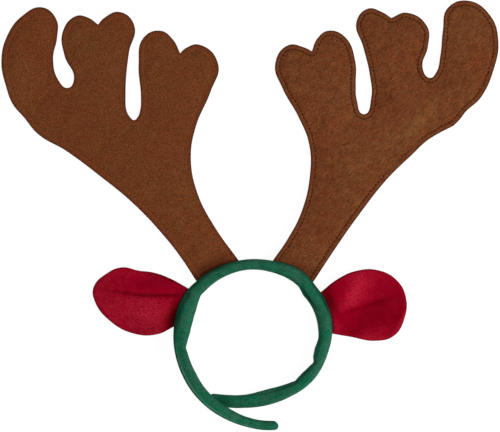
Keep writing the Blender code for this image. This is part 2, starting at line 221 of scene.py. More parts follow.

# Where the colour changes over a piece. On the antlers the patches change tone and tint where the nap
# lies another way, and their last rows paint the shade at the root by the hoop. On the ears most rows
# are painted light and shade. Each patch is a soft oval round a place given from the piece's foot.
# The columns are x, y, long, wide, lay, tone and olive. Lay is the way its length points, tone is 1
# where it changes nothing, and olive makes the colour greener, or redder below 0; on the ears it
# makes them more speckled, or smoother below 0.
ANTLER_LEFT_PATCHES = (
    (-132, 179, 16, 12, 60, 1.08, -0.4),
    (-146, 150, 15, 8, -80, 1.13, 0.2),
    (-148, 128, 18, 8, -50, 1.12, 0),
    (-92, 132, 34, 18, -20, 1, 0.3),
    (-96, 170, 20, 14, 0, 1, 0.7),
    (-43, 158, 22, 14, 0, 1, 0.6),
    (-73, 98, 30, 16, -35, 0.98, 0.1),
    (-21, 42, 20, 12, -55, 1.02, -0.2),
    # Painted shade at the antler's root by the hoop
    (-7, 1, 18, 4.5, 31, 0.5, 0),
    (-12, 0, 6, 3.5, 31, 0.8, 0),
)
ANTLER_RIGHT_PATCHES = (
    (36, 113, 26, 10, 50, 1.09, -0.4),
    (92, 110, 24, 6, 48, 1.2, 0.8),
    (128, 182, 16, 14, 0, 1, 0.6),
    (139, 158, 16, 7, 65, 1, -1),
    (116, 140, 12, 6, 40, 0.88, -0.6),
    (72, 179, 22, 12, 0, 0.96, 0.25),
    (1, 156, 14, 12, 0, 0.97, 0.3),
    (50, 79, 24, 8, 50, 1.06, 0.3),
    (27, 53, 20, 10, 65, 0.96, -0.2),
    (67, 128, 14, 9, 45, 0.93, -0.5),
    # Painted shade at the antler's root by the hoop
    (6, 2.5, 16, 2.6, -34, 0.75, 0),
    (18, -1, 5, 5, 0, 0.75, 0),
)
EAR_LEFT_PATCHES = (
    # Painted shade on the upper panel, in the crease and at the root by the hoop, and painted light on the
    # lower panel
    (-22, 15, 24, 8, -2, 0.93, -1.2),
    (-38, 9.6, 14, 1.2, -7, 0.6, -0.3),
    (-15, 8.1, 17, 1.3, 1, 0.56, -0.5),
    (-27, -4, 24, 12, -10, 1.22, 1),
    (-5.5, -8, 14, 3.8, 72, 0.22, 0),
    (-10, -10, 12, 5, 65, 0.82, 0),
    (-58, 13, 9, 14, 0, 0.95, 0),
    (-40, 25, 14, 4, -4, 1.06, 0),
    (-7, 20.4, 15, 1.8, -23, 0.5, 0),
)
EAR_RIGHT_PATCHES = (
    # Painted light above the crease and on the rolled rim, and painted shade in the crease, on the lower
    # panel and at the root by the hoop
    (22.5, 18.5, 11, 6, 65, 1.3, 1.2),
    (17, 8, 8, 5, 50, 1.1, 0.9),
    (8, 19, 8, 6, 40, 0.84, -0.8),
    (19, -14.5, 6, 3.2, -10, 0.8, -0.6),
    (9, 3, 9, 3.5, 50, 1.12, 0.6),
    (30, -4, 24, 11, 14, 0.76, -1.4),
    (38, 7.6, 8, 2.4, 19, 0.72, -0.6),
    (20, 1.6, 14, 1.2, 19, 0.82, -0.6),
    (46, 18, 11, 12, 60, 0.84, -0.8),
    (8, -11, 5, 5, 0, 1.15, 0.5),
    (50.5, -9.5, 15, 6, 60, 0.72, -0.7),
    (54, -8, 12, 1.3, 62, 1.3, 0.8),
    (33, -19.5, 13, 1.6, -4, 1.1, 0.4),
    (1, 10, 14, 3.4, -66, 0.34, -0.4),
    (6, 12, 12, 6, -60, 0.86, -0.6),
    (3.5, 23, 12, 1.6, 38, 0.62, 0),
)
THREAD_RIGHT_PATCHES = (
    (74, 78.5, 6, 8, 48, 6, 0),
    (92, 94.5, 5, 8, 48, 6, 0),
)

# The antlers' height. Their foot is held at the hoop's middle, and they droop to the floor. The two
# panels meet at the seam and puff out within reach of it, the front one further than the back one.
FOOT_HEIGHT = 8.0
DROOP_START = 8.0
DROOP_END = 105.0
OFF_FLOOR = 0.05
SEAM_ALLOWANCE = 3.6
SEAM_GAP = 0.3
PUFF_REACH = 13.0
FRONT_PUFF = 1.3

# Relief along the seam. The rim swells beside the stitch line, the line dips, and the cloth bunches
# a little between the stitches. Each has its height and how far it spreads.
EDGE_RISE = 2.0
SWELL_HEIGHT = 0.35
SWELL_WIDE = 1.6
DIP_HEIGHT = 0.35
DIP_WIDE = 0.75
BUNCH_HEIGHT = 0.14
BUNCH_WIDE = 2.0
RIM_SHARE = 0.3
RIM_SEGMENTS = 2
RIM_ANGLE = 50.0

# Stitches. Sizes are shares of the thread's thickness, or of the stitch's length for the places
# where it is cut to bend. Sway is how the stitches lean from one to the next.
STITCH_SIDES = 6
STITCH_CUTS = (-0.36, 0.0, 0.36)
STITCH_TAPER = 0.35
STITCH_LIFT = 0.32
STITCH_DIP = 0.75
STITCH_ASIDE = 0.8
ABOVE_ALL = 60.0
FROM_ROOT = 1.2

# Ears. Each is folded along a crease from its root. Along is the distance out along the crease,
# crease is its height there, and above and below are how steeply the cloth climbs from it. The
# left ear is folded over a ridge and the right one into a valley.
FOLD_COLUMNS = ("along", "crease", "above", "below")
EAR_LEFT_ROWS = (
    (-17, -20.5), (-34.5, -20.5), (-53, -11), (-65, 5), (-65.5, 14.5), (-55.5, 25), (-44, 29.5),
    (-31.5, 27), (-20, 25.5), (-8.5, 21.5),
)
EAR_LEFT = Cut(EAR_LEFT_ROWS, (-52.0, -68.0), (-85.2, -55.2))
EAR_LEFT_CREASE = ((-2.0, 8.9), (-54.5, 12.5))
EAR_LEFT_FOLD = (
    (5, 9.2, 0, 0.06),
    (12, 9.8, -0.1, 0.05),
    (22, 9.8, -0.3, -0.08),
    (36, 8.6, -0.36, -0.24),
    (50, 6, -0.26, -0.17),
    (66, 3, -0.05, -0.05),
)
EAR_RIGHT_ROWS = (
    (7.5, 25), (21.5, 31), (37, 31.5), (51.5, 24), (58.5, 11), (57, -5.5), (49, -18),
    (35, -21.5), (16.5, -18.5),
)
EAR_RIGHT = Cut(EAR_RIGHT_ROWS, (58.5, -72.0), (58.8, 90.4))
EAR_RIGHT_CREASE = ((4.5, -1.9), (39.7, 9.8))
EAR_RIGHT_FOLD = (
    (2, 8.4, 0, 0),
    (10, 6.6, 0.12, 0.14),
    (20, 4.4, 0.26, 0.34),
    (34, 3.4, 0.26, 0.44),
    (46, 4.2, 0.14, 0.34),
    (60, 6, 0.02, 0.06),
)
FOLD_SOFTNESS = 8.0
CREASE_SOFTNESS = 0.7
FOLD_REACH = 20.0
ROLL = 1.9
ROLL_SOFTNESS = 1.2
SAG_PLACE = 25.0
SAG_LENGTH = 24.0
LEFT_SAG = 2.8
WAVE_HEIGHT = 0.3
WAVE_LUMP = 7.0
WAVE_STRETCH = 2.5
TUCK_DEEP = 2.2
TUCK_WIDE = 1.1
TUCK_START = 0.1
LEAST_HEIGHT = 1.5

# The ears' soft rim: how far in it is rounded off, and the swelling beside its seam
RIM_ROUND = 1.5
RIM_SWELL = 0.45
RIM_SWELL_PLACE = 2.6
RIM_SWELL_WIDE = 2.2

# How the cloth is broken into small faces. Each outline is set out in even steps, and rows of points
# follow it at the insets before a grid fills the rest. The hoop's steps are in degrees.
KNOT_STEPS = 24
OUTLINE_STEP = 1.4
FAN_STEP = 1.2
ANTLER_INSETS = (1.7, 3.4, 5.1)
ANTLER_GRID = 2.4
EAR_STEP = 1.2
EAR_INSETS = (0.25, 0.7, 1.3, 2.1, 3.1, 4.3)
EAR_GRID = 1.7
HOOP_STEP = 1.0
HOOP_SIDES = 72
TIP_STEPS = 9

# A row's points are kept if they are this share of its inset from the edge, and the grid starts this
# many grid steps past the last row. A root lies this far inside the hoop's cover.
LEAST_INSET = 0.985
GRID_CLEAR = 0.6
ROOT_SINK = 0.1
SAME_POINT = 0.0001
WELD_METRES = 1e-5
INSIDE_ONLY = 1
POINTS_AT_ONCE = 2000

# How far and how finely the turns of a table are softened
BLUR_REACH = 2.0
BLUR_STEPS = 17

# Cloth simulation, run on a copy of the cloth enlarged by CLOTH_SCALE
CLOTH_SCALE = 10.0
CLOTH_FRAMES = 20
CLOTH_QUALITY = 5
CLOTH_BENDING = 0.5
CLOTH_GROWTH = 0.008
START_PUFF = 0.3
START_LUMPS = 0.5
START_LUMP = 16.0
SIDES_APART = 50.0

# Looks of the brown felt: its fibres, its mottling, the seam's tone and strength, where a tone below 1
# is painted shade in the pressed stitch line, the olive tint of the rim, and how strongly painted
# shade darkens the cut edge
LEFT_FIBRES = {"Grain": 0.66, "Tuft": 2.0, "Tuft Share": 0.12, "Streak Share": 0.0, "Contrast": 7.6}
RIGHT_FIBRES = {"Grain": 0.66, "Tuft": 2.4, "Tuft Share": 0.12, "Streak Lay": (0.0, 0.0, -0.78),
                "Streak Size": (7.0, 0.48, 0.48), "Streak Share": 0.48, "Contrast": 9.5}
LEFT_FELT = {"fibres": LEFT_FIBRES, "mottle": 0.05, "seam": (1.5, 0.45), "band": -0.4, "edge": 0.85}
RIGHT_FELT = {"fibres": RIGHT_FIBRES, "mottle": 0.09, "seam": (0.6, 0.55), "band": -0.2, "edge": 0.9}

# Both antlers. Uneven is how far the stitches lean and stray.
Antler = namedtuple("Antler", "side cut patches felt thread_patches uneven")
ANTLERS = (
    Antler("left", ANTLER_LEFT, ANTLER_LEFT_PATCHES, LEFT_FELT, (), 0.05),
    Antler("right", ANTLER_RIGHT, ANTLER_RIGHT_PATCHES, RIGHT_FELT, THREAD_RIGHT_PATCHES, 0.3),
)
PANELS = (("front", 1), ("back", -1))

# Studio, in metres. Each lamp is a disk that points at the origin: its name, the setting that holds
# its power, its width and where it is. The picture's width is measured at the picture plane.
FLOOR_WIDTH = 6.0
PICTURE_PLANE = 0.006
WHITE = (1.0, 1.0, 1.0, 1.0)
LAMPS = (
    ("Key", "key_power", 0.9, (1.1, -0.4, 1.05)),
    ("Top", "top_power", 1.0, (0.0, 0.0, 2.9)),
)


def smoothstep(share):
    """0 up to 0, 1 from 1, and a soft step between."""
    share = np.clip(share, 0.0, 1.0)
    return share * share * (3.0 - 2.0 * share)


def bell(offset, spread):
    """1 at no offset, falling away softly over the spread."""
    return np.exp(-np.square(np.asarray(offset) / spread))


def read_smoothly(rows, columns, name, places, softness):
    """A table's named column where its first column has these values, with its turns softened."""
    table = np.array(rows)
    total, weights = 0.0, 0.0
    for shift in np.linspace(-BLUR_REACH, BLUR_REACH, BLUR_STEPS):
        weight = math.exp(-shift * shift)
        near = places + shift * softness / BLUR_REACH
        total = total + weight * np.interp(near, table[:, 0], table[:, columns.index(name)])
        weights += weight
    return total / weights


def noise_at(points, size, shift=0.0):
    """Smooth noise from about -1 to 1 at each point, in lumps of this size."""
    away = Vector((shift, -shift, 2 * shift))
    return np.array([noise.noise(Vector(point) / size + away) for point in points])


def keep_patches(piece, rows, foot):
    """Keeps the tone and olive tint that the patches give a piece; the antlers' and ears' tone holds painted
    light and shade.
    """
    points = read_points(piece)[:, :2] - foot
    tones, tints = np.ones(len(points)), np.zeros(len(points))
    for x, y, long, wide, lay, level, olive in rows:
        angle = math.radians(lay)
        steps = points - (x, y)
        along = steps @ (math.cos(angle), math.sin(angle))
        across = steps @ (-math.sin(angle), math.cos(angle))
        share = bell(along, long) * bell(across, wide)
        # The tone holds painted light and shade on the antlers and ears
        tones *= 1.0 + (level - 1.0) * share
        tints += olive * share
    keep_value(piece, "tone", tones)
    keep_value(piece, "olive", tints)


def hoop_size(name, turns):
    """One of the hoop's sizes at these turns."""
    softness = INNER_SOFTNESS if name == "inner" else OUTER_SOFTNESS
    return read_smoothly(HOOP_ROWS, HOOP_COLUMNS, name, np.asarray(turns, float), softness)


def on_hoop(turns, radius):
    """Points this far from the hoop's centre at these turns."""
    angles = np.radians(turns)
    return HOOP_CENTRE + np.stack((radius * np.sin(angles), radius * np.cos(angles)), -1)


def evenly(line, step):
    """The points of an open line set out again about this far apart."""
    lengths = np.linalg.norm(np.diff(line, axis=0), axis=1)
    along = np.concatenate(([0.0], np.cumsum(lengths)))
    places = np.linspace(0.0, along[-1], max(2, round(along[-1] / step) + 1))
    return np.stack([np.interp(places, along, line[:, axis]) for axis in range(line.shape[1])], -1)


def smooth_runs(knots):
    """Smooth lines through the knots, one for each run between sharp corners."""
    curve = bpy.data.curves.new("Line", "CURVE")
    curve.resolution_u = KNOT_STEPS
    spline = curve.splines.new("BEZIER")
    spline.bezier_points.add(len(knots) - 1)
    for point, (x, y, *corner) in zip(spline.bezier_points, knots):
        point.co = (x, y, 0.0)
        point.handle_left_type = point.handle_right_type = "VECTOR" if corner else "AUTO"
    guide = bpy.data.objects.new("Line", curve)
    bpy.context.scene.collection.objects.link(guide)
    evaluated = guide.evaluated_get(bpy.context.evaluated_depsgraph_get())
    line = bpy.data.meshes.new_from_object(evaluated)
    points = np.array([vertex.co.xy for vertex in line.vertices])
    bpy.data.objects.remove(guide)
    bpy.data.curves.remove(curve)
    bpy.data.meshes.remove(line)
    corners = [index * KNOT_STEPS for index, knot in enumerate(knots) if len(knot) > 2]
    stops = [0, *corners, len(points) - 1]
    return [points[low:high + 1] for low, high in zip(stops, stops[1:])]


def cut_line(cut, step):
    """The cut edge of a piece from the hoop and back to it, and its root along the hoop."""
    start, end = cut.turns
    ends = on_hoop((start, end), hoop_size("outer", (start, end)) - ROOT_SINK) - cut.foot
    runs = [evenly(run, step) for run in smooth_runs([ends[0], *cut.rows, ends[1]])]
    edge = np.concatenate([runs[0]] + [run[1:] for run in runs[1:]]) + cut.foot
    turns = np.linspace(end, start, math.ceil((end - start) / HOOP_STEP))
    root = evenly(on_hoop(turns, hoop_size("outer", turns) - ROOT_SINK), step)
    return edge, root


def cut_outline(cut, step):
    """The whole outline of a piece, clockwise."""
    edge, root = cut_line(cut, step)
    return np.concatenate((edge, root[1:-1]))


def nearest_on(points, line, closed=True):
    """How far each point is from a line, and how far along it the nearest place lies."""
    ends = np.roll(line, -1, axis=0) if closed else line[1:]
    starts = line if closed else line[:-1]
    steps = ends - starts
    squares = np.maximum((steps * steps).sum(1), SAME_POINT ** 2)
    before = np.concatenate(([0.0], np.cumsum(np.sqrt(squares))[:-1]))
    distances, places = [], []
    for some in np.array_split(points, len(points) // POINTS_AT_ONCE + 1):
        rel = some[:, None] - starts[None]
        share = np.clip((rel * steps).sum(2) / squares, 0.0, 1.0)
        away = np.linalg.norm(rel - share[..., None] * steps, axis=2)
        nearest = away.argmin(1)
        rows = np.arange(len(some))
        distances.append(away[rows, nearest])
        places.append(before[nearest] + share[rows, nearest] * np.sqrt(squares[nearest]))
    return np.concatenate(distances), np.concatenate(places)


def are_inside(points, outline):
    """Whether each point lies inside a closed outline."""
    starts, ends = outline, np.roll(outline, -1, axis=0)
    inside = np.zeros(len(points), bool)
    for start, end in zip(starts, ends):
        spans = (start[1] > points[:, 1]) != (end[1] > points[:, 1])
        rise = (end[1] - start[1]) or SAME_POINT
        crossing = start[0] + (points[:, 1] - start[1]) * (end[0] - start[0]) / rise
        inside ^= spans & (points[:, 0] < crossing)
    return inside


def offset_line(line, inset, closed=True):
    """The line moved this far to its right, fanned out round its left turns."""
    before = np.roll(line, 1, axis=0)
    after = np.roll(line, -1, axis=0)
    if not closed:
        before[0] = 2 * line[0] - line[1]
        after[-1] = 2 * line[-1] - line[-2]
    arriving, leaving = line - before, after - line
    heading = np.arctan2(arriving[:, 1], arriving[:, 0])
    bend = np.arctan2(leaving[:, 1], leaving[:, 0]) - heading
    bend = (bend + math.pi) % (2 * math.pi) - math.pi
    points = []
    for place, angle, turned in zip(line, heading, bend):
        fan = math.ceil(turned * inset / FAN_STEP)
        shares = np.linspace(0.0, 1.0, fan + 1) if fan > 1 else np.array([0.5])
        angles = angle + turned * shares
        points.append(place + inset * np.stack((np.sin(angles), -np.cos(angles)), -1))
    return np.concatenate(points)


def fill_outline(outline, insets, spacing):
    """Points and triangles that fill an outline: rows along its edge, then a triangular grid."""
    low, high = outline.min(0), outline.max(0)
    row_height = spacing * math.sqrt(3) / 2
    xs = np.arange(low[0], high[0], spacing)
    ys = np.arange(low[1], high[1], row_height)
    grid = np.array([(x + spacing / 2 * (row % 2), y) for row, y in enumerate(ys) for x in xs])
    groups = [(offset_line(outline, inset), LEAST_INSET * inset) for inset in insets]
    groups.append((grid, insets[-1] + GRID_CLEAR * spacing))
    points = [outline]
    for group, clear in groups:
        kept = (nearest_on(group, outline)[0] > clear) & are_inside(group, outline)
        points.append(group[kept])
    points = [Vector(point) for point in np.concatenate(points)]
    count = len(outline)
    edges = [(index, (index + 1) % count) for index in range(count)]
    flat, _, triangles, _, _, _ = delaunay_2d_cdt(points, edges, [], INSIDE_ONLY, SAME_POINT)
    return np.array(flat), [tuple(reversed(t)) if faces_down(t, flat) else tuple(t) for t in triangles]


def faces_down(triangle, points):
    """Whether a flat triangle runs clockwise."""
    a, b, c = (points[index] for index in triangle)
    return (b - a).cross(c - a) < 0


def pick(piece):
    """Makes a piece the only selected one and the active one."""
    bpy.ops.object.select_all(action="DESELECT")
    piece.select_set(True)
    bpy.context.view_layer.objects.active = piece


def add_piece(name, points, faces):
    """A new object at the origin, from points in millimetres."""
    mesh = bpy.data.meshes.new(name)
    mesh.from_pydata((np.asarray(points) * MM).tolist(), [], faces)
    mesh.update()
    piece = bpy.data.objects.new(name, mesh)
    bpy.context.scene.collection.objects.link(piece)
    return piece


def read_points(piece):
    """A piece's points in millimetres."""
    values = np.empty(len(piece.data.vertices) * 3)
    piece.data.vertices.foreach_get("co", values)
    return values.reshape(-1, 3) / MM


def read_normals(piece):
    """The way each point of a piece faces."""
    values = np.empty(len(piece.data.vertices) * 3)
    piece.data.vertices.foreach_get("normal", values)
    return values.reshape(-1, 3)


def move_points(piece, points):
    """Sets a piece's points, given in millimetres."""
    piece.data.vertices.foreach_set("co", (points * MM).ravel())
    piece.data.update()


def apply_modifiers(piece):
    """Applies a piece's modifiers in their order."""
    pick(piece)
    for modifier in list(piece.modifiers):
        bpy.ops.object.modifier_apply(modifier=modifier.name)


def subdivide(piece):
    """Splits each face of a piece in four without rounding it."""
    finer = piece.modifiers.new("Finer", "SUBSURF")
    finer.subdivision_type = "SIMPLE"
    finer.levels = finer.render_levels = 1
    apply_modifiers(piece)


def edit_mesh(*steps):
    """Runs mesh operators, each with its options, on the whole of the active piece."""
    bpy.ops.object.mode_set(mode="EDIT")
    for operator, options in steps:
        bpy.ops.mesh.select_all(action="SELECT")
        operator(**options)
    bpy.ops.object.mode_set(mode="OBJECT")


def keep_value(piece, name, values):
    """Keeps one number for each point of a piece, for its material to read."""
    attribute = piece.data.attributes.new(name, "FLOAT", "POINT")
    attribute.data.foreach_set("value", np.asarray(values, np.float32))


def finish_piece(piece, nodes, material):
    """Smooths a piece, gives it its material and ties it to the frame."""
    pick(piece)
    bpy.ops.object.shade_smooth()
    piece.data.materials.clear()
    piece.data.materials.append(material)
    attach(piece, BODY)
    if nodes:
        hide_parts(*nodes)


# Material nodes

def add_node(tree, kind, inputs=None, **settings):
    """A node with its settings, and its inputs given as values or as sockets to link from."""
    made = tree.nodes.new(kind)
    for name, value in settings.items():
        setattr(made, name, value)
    for name, value in (inputs or {}).items():
        if isinstance(value, bpy.types.NodeSocket):
            tree.links.new(value, made.inputs[name])
        else:
            made.inputs[name].default_value = value
    return made


def maths(tree, operation, first, second=0.0, clamp=False):
    """The result of a sum on two values or sockets."""
    made = add_node(tree, "ShaderNodeMath", {0: first, 1: second}, operation=operation)
    made.use_clamp = clamp
    return made.outputs[0]


def spread_values(tree, value, low, high, to_low=0.0, to_high=1.0):
    """A value stretched from one range to another and held inside it."""
    sockets = {"Value": value, "From Min": low, "From Max": high, "To Min": to_low, "To Max": to_high}
    return add_node(tree, "ShaderNodeMapRange", sockets, clamp=True).outputs["Result"]


def mix_colours(tree, share, first, second, blend="MIX"):
    """Two colours mixed by a share."""
    made = add_node(tree, "ShaderNodeMix", data_type="RGBA", blend_type=blend)
    for socket, value in ((made.inputs[0], share), (made.inputs[6], first), (made.inputs[7], second)):
        if isinstance(value, bpy.types.NodeSocket):
            tree.links.new(value, socket)
        else:
            socket.default_value = value
    return made.outputs[2]


def mix_values(tree, share, first, second):
    """Two numbers mixed by a share."""
    return add_node(tree, "ShaderNodeMix", {0: share, 2: first, 3: second}).outputs[0]


def channel(tree, colour, name):
    """One channel of a colour."""
    return add_node(tree, "ShaderNodeSeparateColor", {"Color": colour}).outputs[name]


def object_mm(tree):
    """The place on the piece in millimetres."""
    place = add_node(tree, "ShaderNodeTexCoord").outputs["Object"]
    scaled = add_node(tree, "ShaderNodeVectorMath", {0: place, "Scale": 1 / MM}, operation="SCALE")
    return scaled.outputs[0]


def lumps_of(tree, place, size, detail, roughness=0.5):
    """Smooth noise in lumps of this size."""
    sized = add_node(tree, "ShaderNodeVectorMath", {0: place, 1: size}, operation="DIVIDE").outputs[0]
    inputs = {"Vector": sized, "Scale": 1.0, "Detail": detail, "Roughness": roughness}
    return add_node(tree, "ShaderNodeTexNoise", inputs).outputs


def shared_group(name, inputs):
    """Turns a function that fills a shader group into one that builds it once and then finds it.

    The function gets the group and its inputs, and returns its outputs by name. Inputs are numbers
    or vectors, and outputs are numbers."""
    def wrap(fill):
        def find():
            if name in bpy.data.node_groups:
                return bpy.data.node_groups[name]
            group = bpy.data.node_groups.new(name, "ShaderNodeTree")
            for key, value in inputs.items():
                kind = "NodeSocketFloat" if isinstance(value, float) else "NodeSocketVector"
                socket = group.interface.new_socket(key, in_out="INPUT", socket_type=kind)
                socket.default_value = value
            results = fill(group, group.nodes.new("NodeGroupInput").outputs)
            for key in results:
                group.interface.new_socket(key, in_out="OUTPUT", socket_type="NodeSocketFloat")
            ends = group.nodes.new("NodeGroupOutput").inputs
            for key, value in results.items():
                group.links.new(value, ends[key])
            return group
        return find
    return wrap


@shared_group("Felt fibres", {
    "Grain": 0.9, "Tuft": 2.4, "Tuft Share": 0.2, "Streak Lay": (0.0, 0.0, 0.0),
    "Streak Size": (4.0, 0.9, 0.9), "Streak Share": 0.3, "Contrast": 2.2})
def felt_fibres_group(group, given):
    """Brushed felt: grain, tufts, combed streaks and loose specks, as values from 0 to 1."""
    place = object_mm(group)
    drift = lumps_of(group, place, (11.0, 11.0, 11.0), 1.0)["Color"]
    drifted = add_node(group, "ShaderNodeVectorMath", {0: drift, 1: (6.0, 6.0, 6.0), 2: place},
                       operation="MULTIPLY_ADD").outputs[0]
    inputs = {"Vector": drifted, "Rotation": given["Streak Lay"]}
    laid = add_node(group, "ShaderNodeVectorRotate", inputs, rotation_type="EULER_XYZ").outputs[0]
    grain = lumps_of(group, place, given["Grain"], 3.0, 0.6)
    tuft = lumps_of(group, place, given["Tuft"], 1.0, 0.6)
    streak = lumps_of(group, laid, given["Streak Size"], 1.5, 0.6)
    plain = mix_values(group, given["Tuft Share"], grain["Fac"], tuft["Fac"])
    blend = mix_values(group, given["Streak Share"], plain, streak["Fac"])
    middle = maths(group, "SUBTRACT", blend, 0.5)
    shade = maths(group, "ADD", maths(group, "MULTIPLY", middle, given["Contrast"]), 0.5, clamp=True)
    greens = [channel(group, kind["Color"], "Green") for kind in (grain, tuft)]
    blue = channel(group, grain["Color"], "Blue")
    return {"Shade": shade, "Height": blend,
            "Hue": spread_values(group, maths(group, "ADD", *greens), 0.7, 1.3),
            "Speck": spread_values(group, blue, 0.6, 0.72)}


@shared_group("Cloth clouds", {"Small": 9.0, "Large": 45.0})
def clouds_group(group, given):
    """Slow changes of tone and hue across a piece of cloth, as values from 0 to 1."""
    place = object_mm(group)
    small, large = (lumps_of(group, place, given[size], 2.0) for size in ("Small", "Large"))
    blues = [channel(group, lumps["Color"], "Blue") for lumps in (small, large)]
    return {"Mottle": spread_values(group, small["Fac"], 0.3, 0.7),
            "Hue": spread_values(group, maths(group, "ADD", *blues), 0.75, 1.25)}


@shared_group("Felt edge", {"Edge Width": 0.8, "Band Width": 3.4, "Seam": 3.4, "Seam Width": 0.6})
def edge_group(group, given):
    """How near the cut edge a place is: masks for the edge, the rim's band and the seam."""
    from_edge = add_node(group, "ShaderNodeAttribute", attribute_name="edge_mm").outputs["Fac"]
    from_seam = maths(group, "ABSOLUTE", maths(group, "SUBTRACT", from_edge, given["Seam"]))
    masks = {}
    for name, distance in (("Edge", from_edge), ("Band", from_edge), ("Seam", from_seam)):
        share = maths(group, "DIVIDE", distance, given[f"{name} Width"])
        masks[name] = maths(group, "SUBTRACT", 1.0, share, clamp=True)
    return masks


@shared_group("Nap patches", {})
def shade_and_tint_group(group, given):
    """The kept tone, which holds painted light and shade, and the kept olive tint."""
    return {name: add_node(group, "ShaderNodeAttribute", attribute_name=name.lower()).outputs["Fac"]
            for name in ("Tone", "Olive")}


@shared_group("Thread twist", {"Pitch": 0.7})
def twist_group(group, given):
    """The twist of a sewing thread, as a shade and a height."""
    sized = add_node(group, "ShaderNodeVectorMath", {0: object_mm(group), 1: given["Pitch"]},
                     operation="DIVIDE")
    inputs = {"Vector": sized.outputs[0], "Scale": 0.6, "Distortion": 1.5}
    wave = add_node(group, "ShaderNodeTexWave", inputs, wave_type="BANDS", bands_direction="DIAGONAL")
    return {name: wave.outputs["Fac"] for name in ("Shade", "Height")}


def place_group(tree, group, **values):
    """A group placed in a material, with its own values."""
    made = tree.nodes.new("ShaderNodeGroup")
    made.node_tree = group
    for name, value in values.items():
        made.inputs[name.replace("_", " ")].default_value = value
    return made.outputs


def new_material(name, roughness, sheen, sheen_tint, specular=0.04):
    """A material with its shader's plain values set, and its node tree and shader."""
    material = bpy.data.materials.new(name)
    material.use_nodes = True
    tree = material.node_tree
    shader = tree.nodes["Principled BSDF"]
    shader.inputs["Roughness"].default_value = roughness
    shader.inputs["Specular IOR Level"].default_value = specular
    shader.inputs["Sheen Weight"].default_value = sheen
    shader.inputs["Sheen Roughness"].default_value = 0.6
    shader.inputs["Sheen Tint"].default_value = sheen_tint
    return material, tree, shader


def finish_material(tree, shader, colour, height, depth_mm):
    """Feeds a colour to the shader, and a height as bump."""
    tree.links.new(colour, shader.inputs["Base Color"])
    inputs = {"Height": height, "Distance": depth_mm * MM, "Strength": 1.0}
    bump = add_node(tree, "ShaderNodeBump", inputs)
    tree.links.new(bump.outputs["Normal"], shader.inputs["Normal"])


def tone(colour, scale, warmth=0.0):
    """A colour made lighter or darker, and warmer by taking some green and blue away."""
    red, green, blue = colour[:3]
    return (red * scale, green * scale * (1 - warmth), blue * scale * (1 - warmth), 1.0)


def tinted(colour, *scales):
    """A colour with its red, green and blue each times a number."""
    return (*(value * scale for value, scale in zip(colour, scales)), 1.0)


def scale_colour(tree, colour, level, power=1.0):
    """A colour made lighter or darker by a level, its green and blue by a power of it."""
    cooler = maths(tree, "POWER", level, power)
    levels = add_node(tree, "ShaderNodeCombineColor", {"Red": level, "Green": cooler, "Blue": cooler})
    return mix_colours(tree, 1.0, colour, levels.outputs[0], "MULTIPLY")


def mottle_and_shade_level(tree, clouds, nap, mottle):
    """How light the colour is made: its mottling times its kept tone, which holds painted light and shade.
    """
    level = spread_values(tree, clouds["Mottle"], 0.0, 1.0, 1.0 - mottle, 1.0 + mottle)
    # The kept tone is painted light and shade
    return maths(tree, "MULTIPLY", level, nap["Tone"])


def overlay(tree, colour, mask, strength, other):
    """A colour with another laid over it where a mask says."""
    return mix_colours(tree, maths(tree, "MULTIPLY", mask, strength), colour, other)


def hue_share(tree, *pairs):
    """A share from 0 to 1: some values, each less its middle and times its weight, around 0.5."""
    total = 0.5
    for value, weight, middle in pairs:
        offset = maths(tree, "SUBTRACT", value, middle)
        total = maths(tree, "ADD", total, maths(tree, "MULTIPLY", offset, weight))
    return maths(tree, "ADD", total, 0.0, clamp=True)


def felt_material(name, colour, fibres, mottle, seam, band, edge):
    """Brown felt with combed fibres. Seam is a tone and a strength, a tone below 1 painting shade into the
    pressed stitch line, band the rim's olive tint, and edge the strength of the painted shade on the cut
    edge.
    """
    material, tree, shader = new_material(name, 0.95, 0.04, tone(colour, 3.0))
    fibres = place_group(tree, felt_fibres_group(), **fibres)
    clouds = place_group(tree, clouds_group(), Small=7.0, Large=40.0)
    masks = place_group(tree, edge_group(), Edge_Width=1.3, Band_Width=4.8, Seam_Width=0.8)
    nap = place_group(tree, shade_and_tint_group())
    reddish = mix_colours(tree, fibres["Shade"], tone(colour, 0.66, 0.25), tone(colour, 1.34, 0.23))
    olive = mix_colours(tree, fibres["Shade"], tone(colour, 0.62, -0.22), tone(colour, 1.30, -0.25))
    hue = hue_share(tree, (fibres["Hue"], 0.95, 0.5), (clouds["Hue"], 0.34, 0.5),
                    (nap["Olive"], 0.34, 0.0), (masks["Band"], band, 0.0))
    felt = mix_colours(tree, hue, reddish, olive)
    felt = overlay(tree, felt, fibres["Speck"], 0.45, tone(colour, 1.75, -0.2))
    felt = scale_colour(tree, felt, mottle_and_shade_level(tree, clouds, nap, mottle), 1.4)
    seam_tone, seam_strength = seam
    # The seam's tone: painted shade in the pressed stitch line where it is below 1
    felt = overlay(tree, felt, masks["Seam"], seam_strength, tone(colour, seam_tone, 0.05))
    # Painted shade along the rounded cut edge
    felt = overlay(tree, felt, masks["Edge"], edge, tone(colour, 0.26, 0.0))
    finish_material(tree, shader, felt, fibres["Height"], 0.4)
    return material


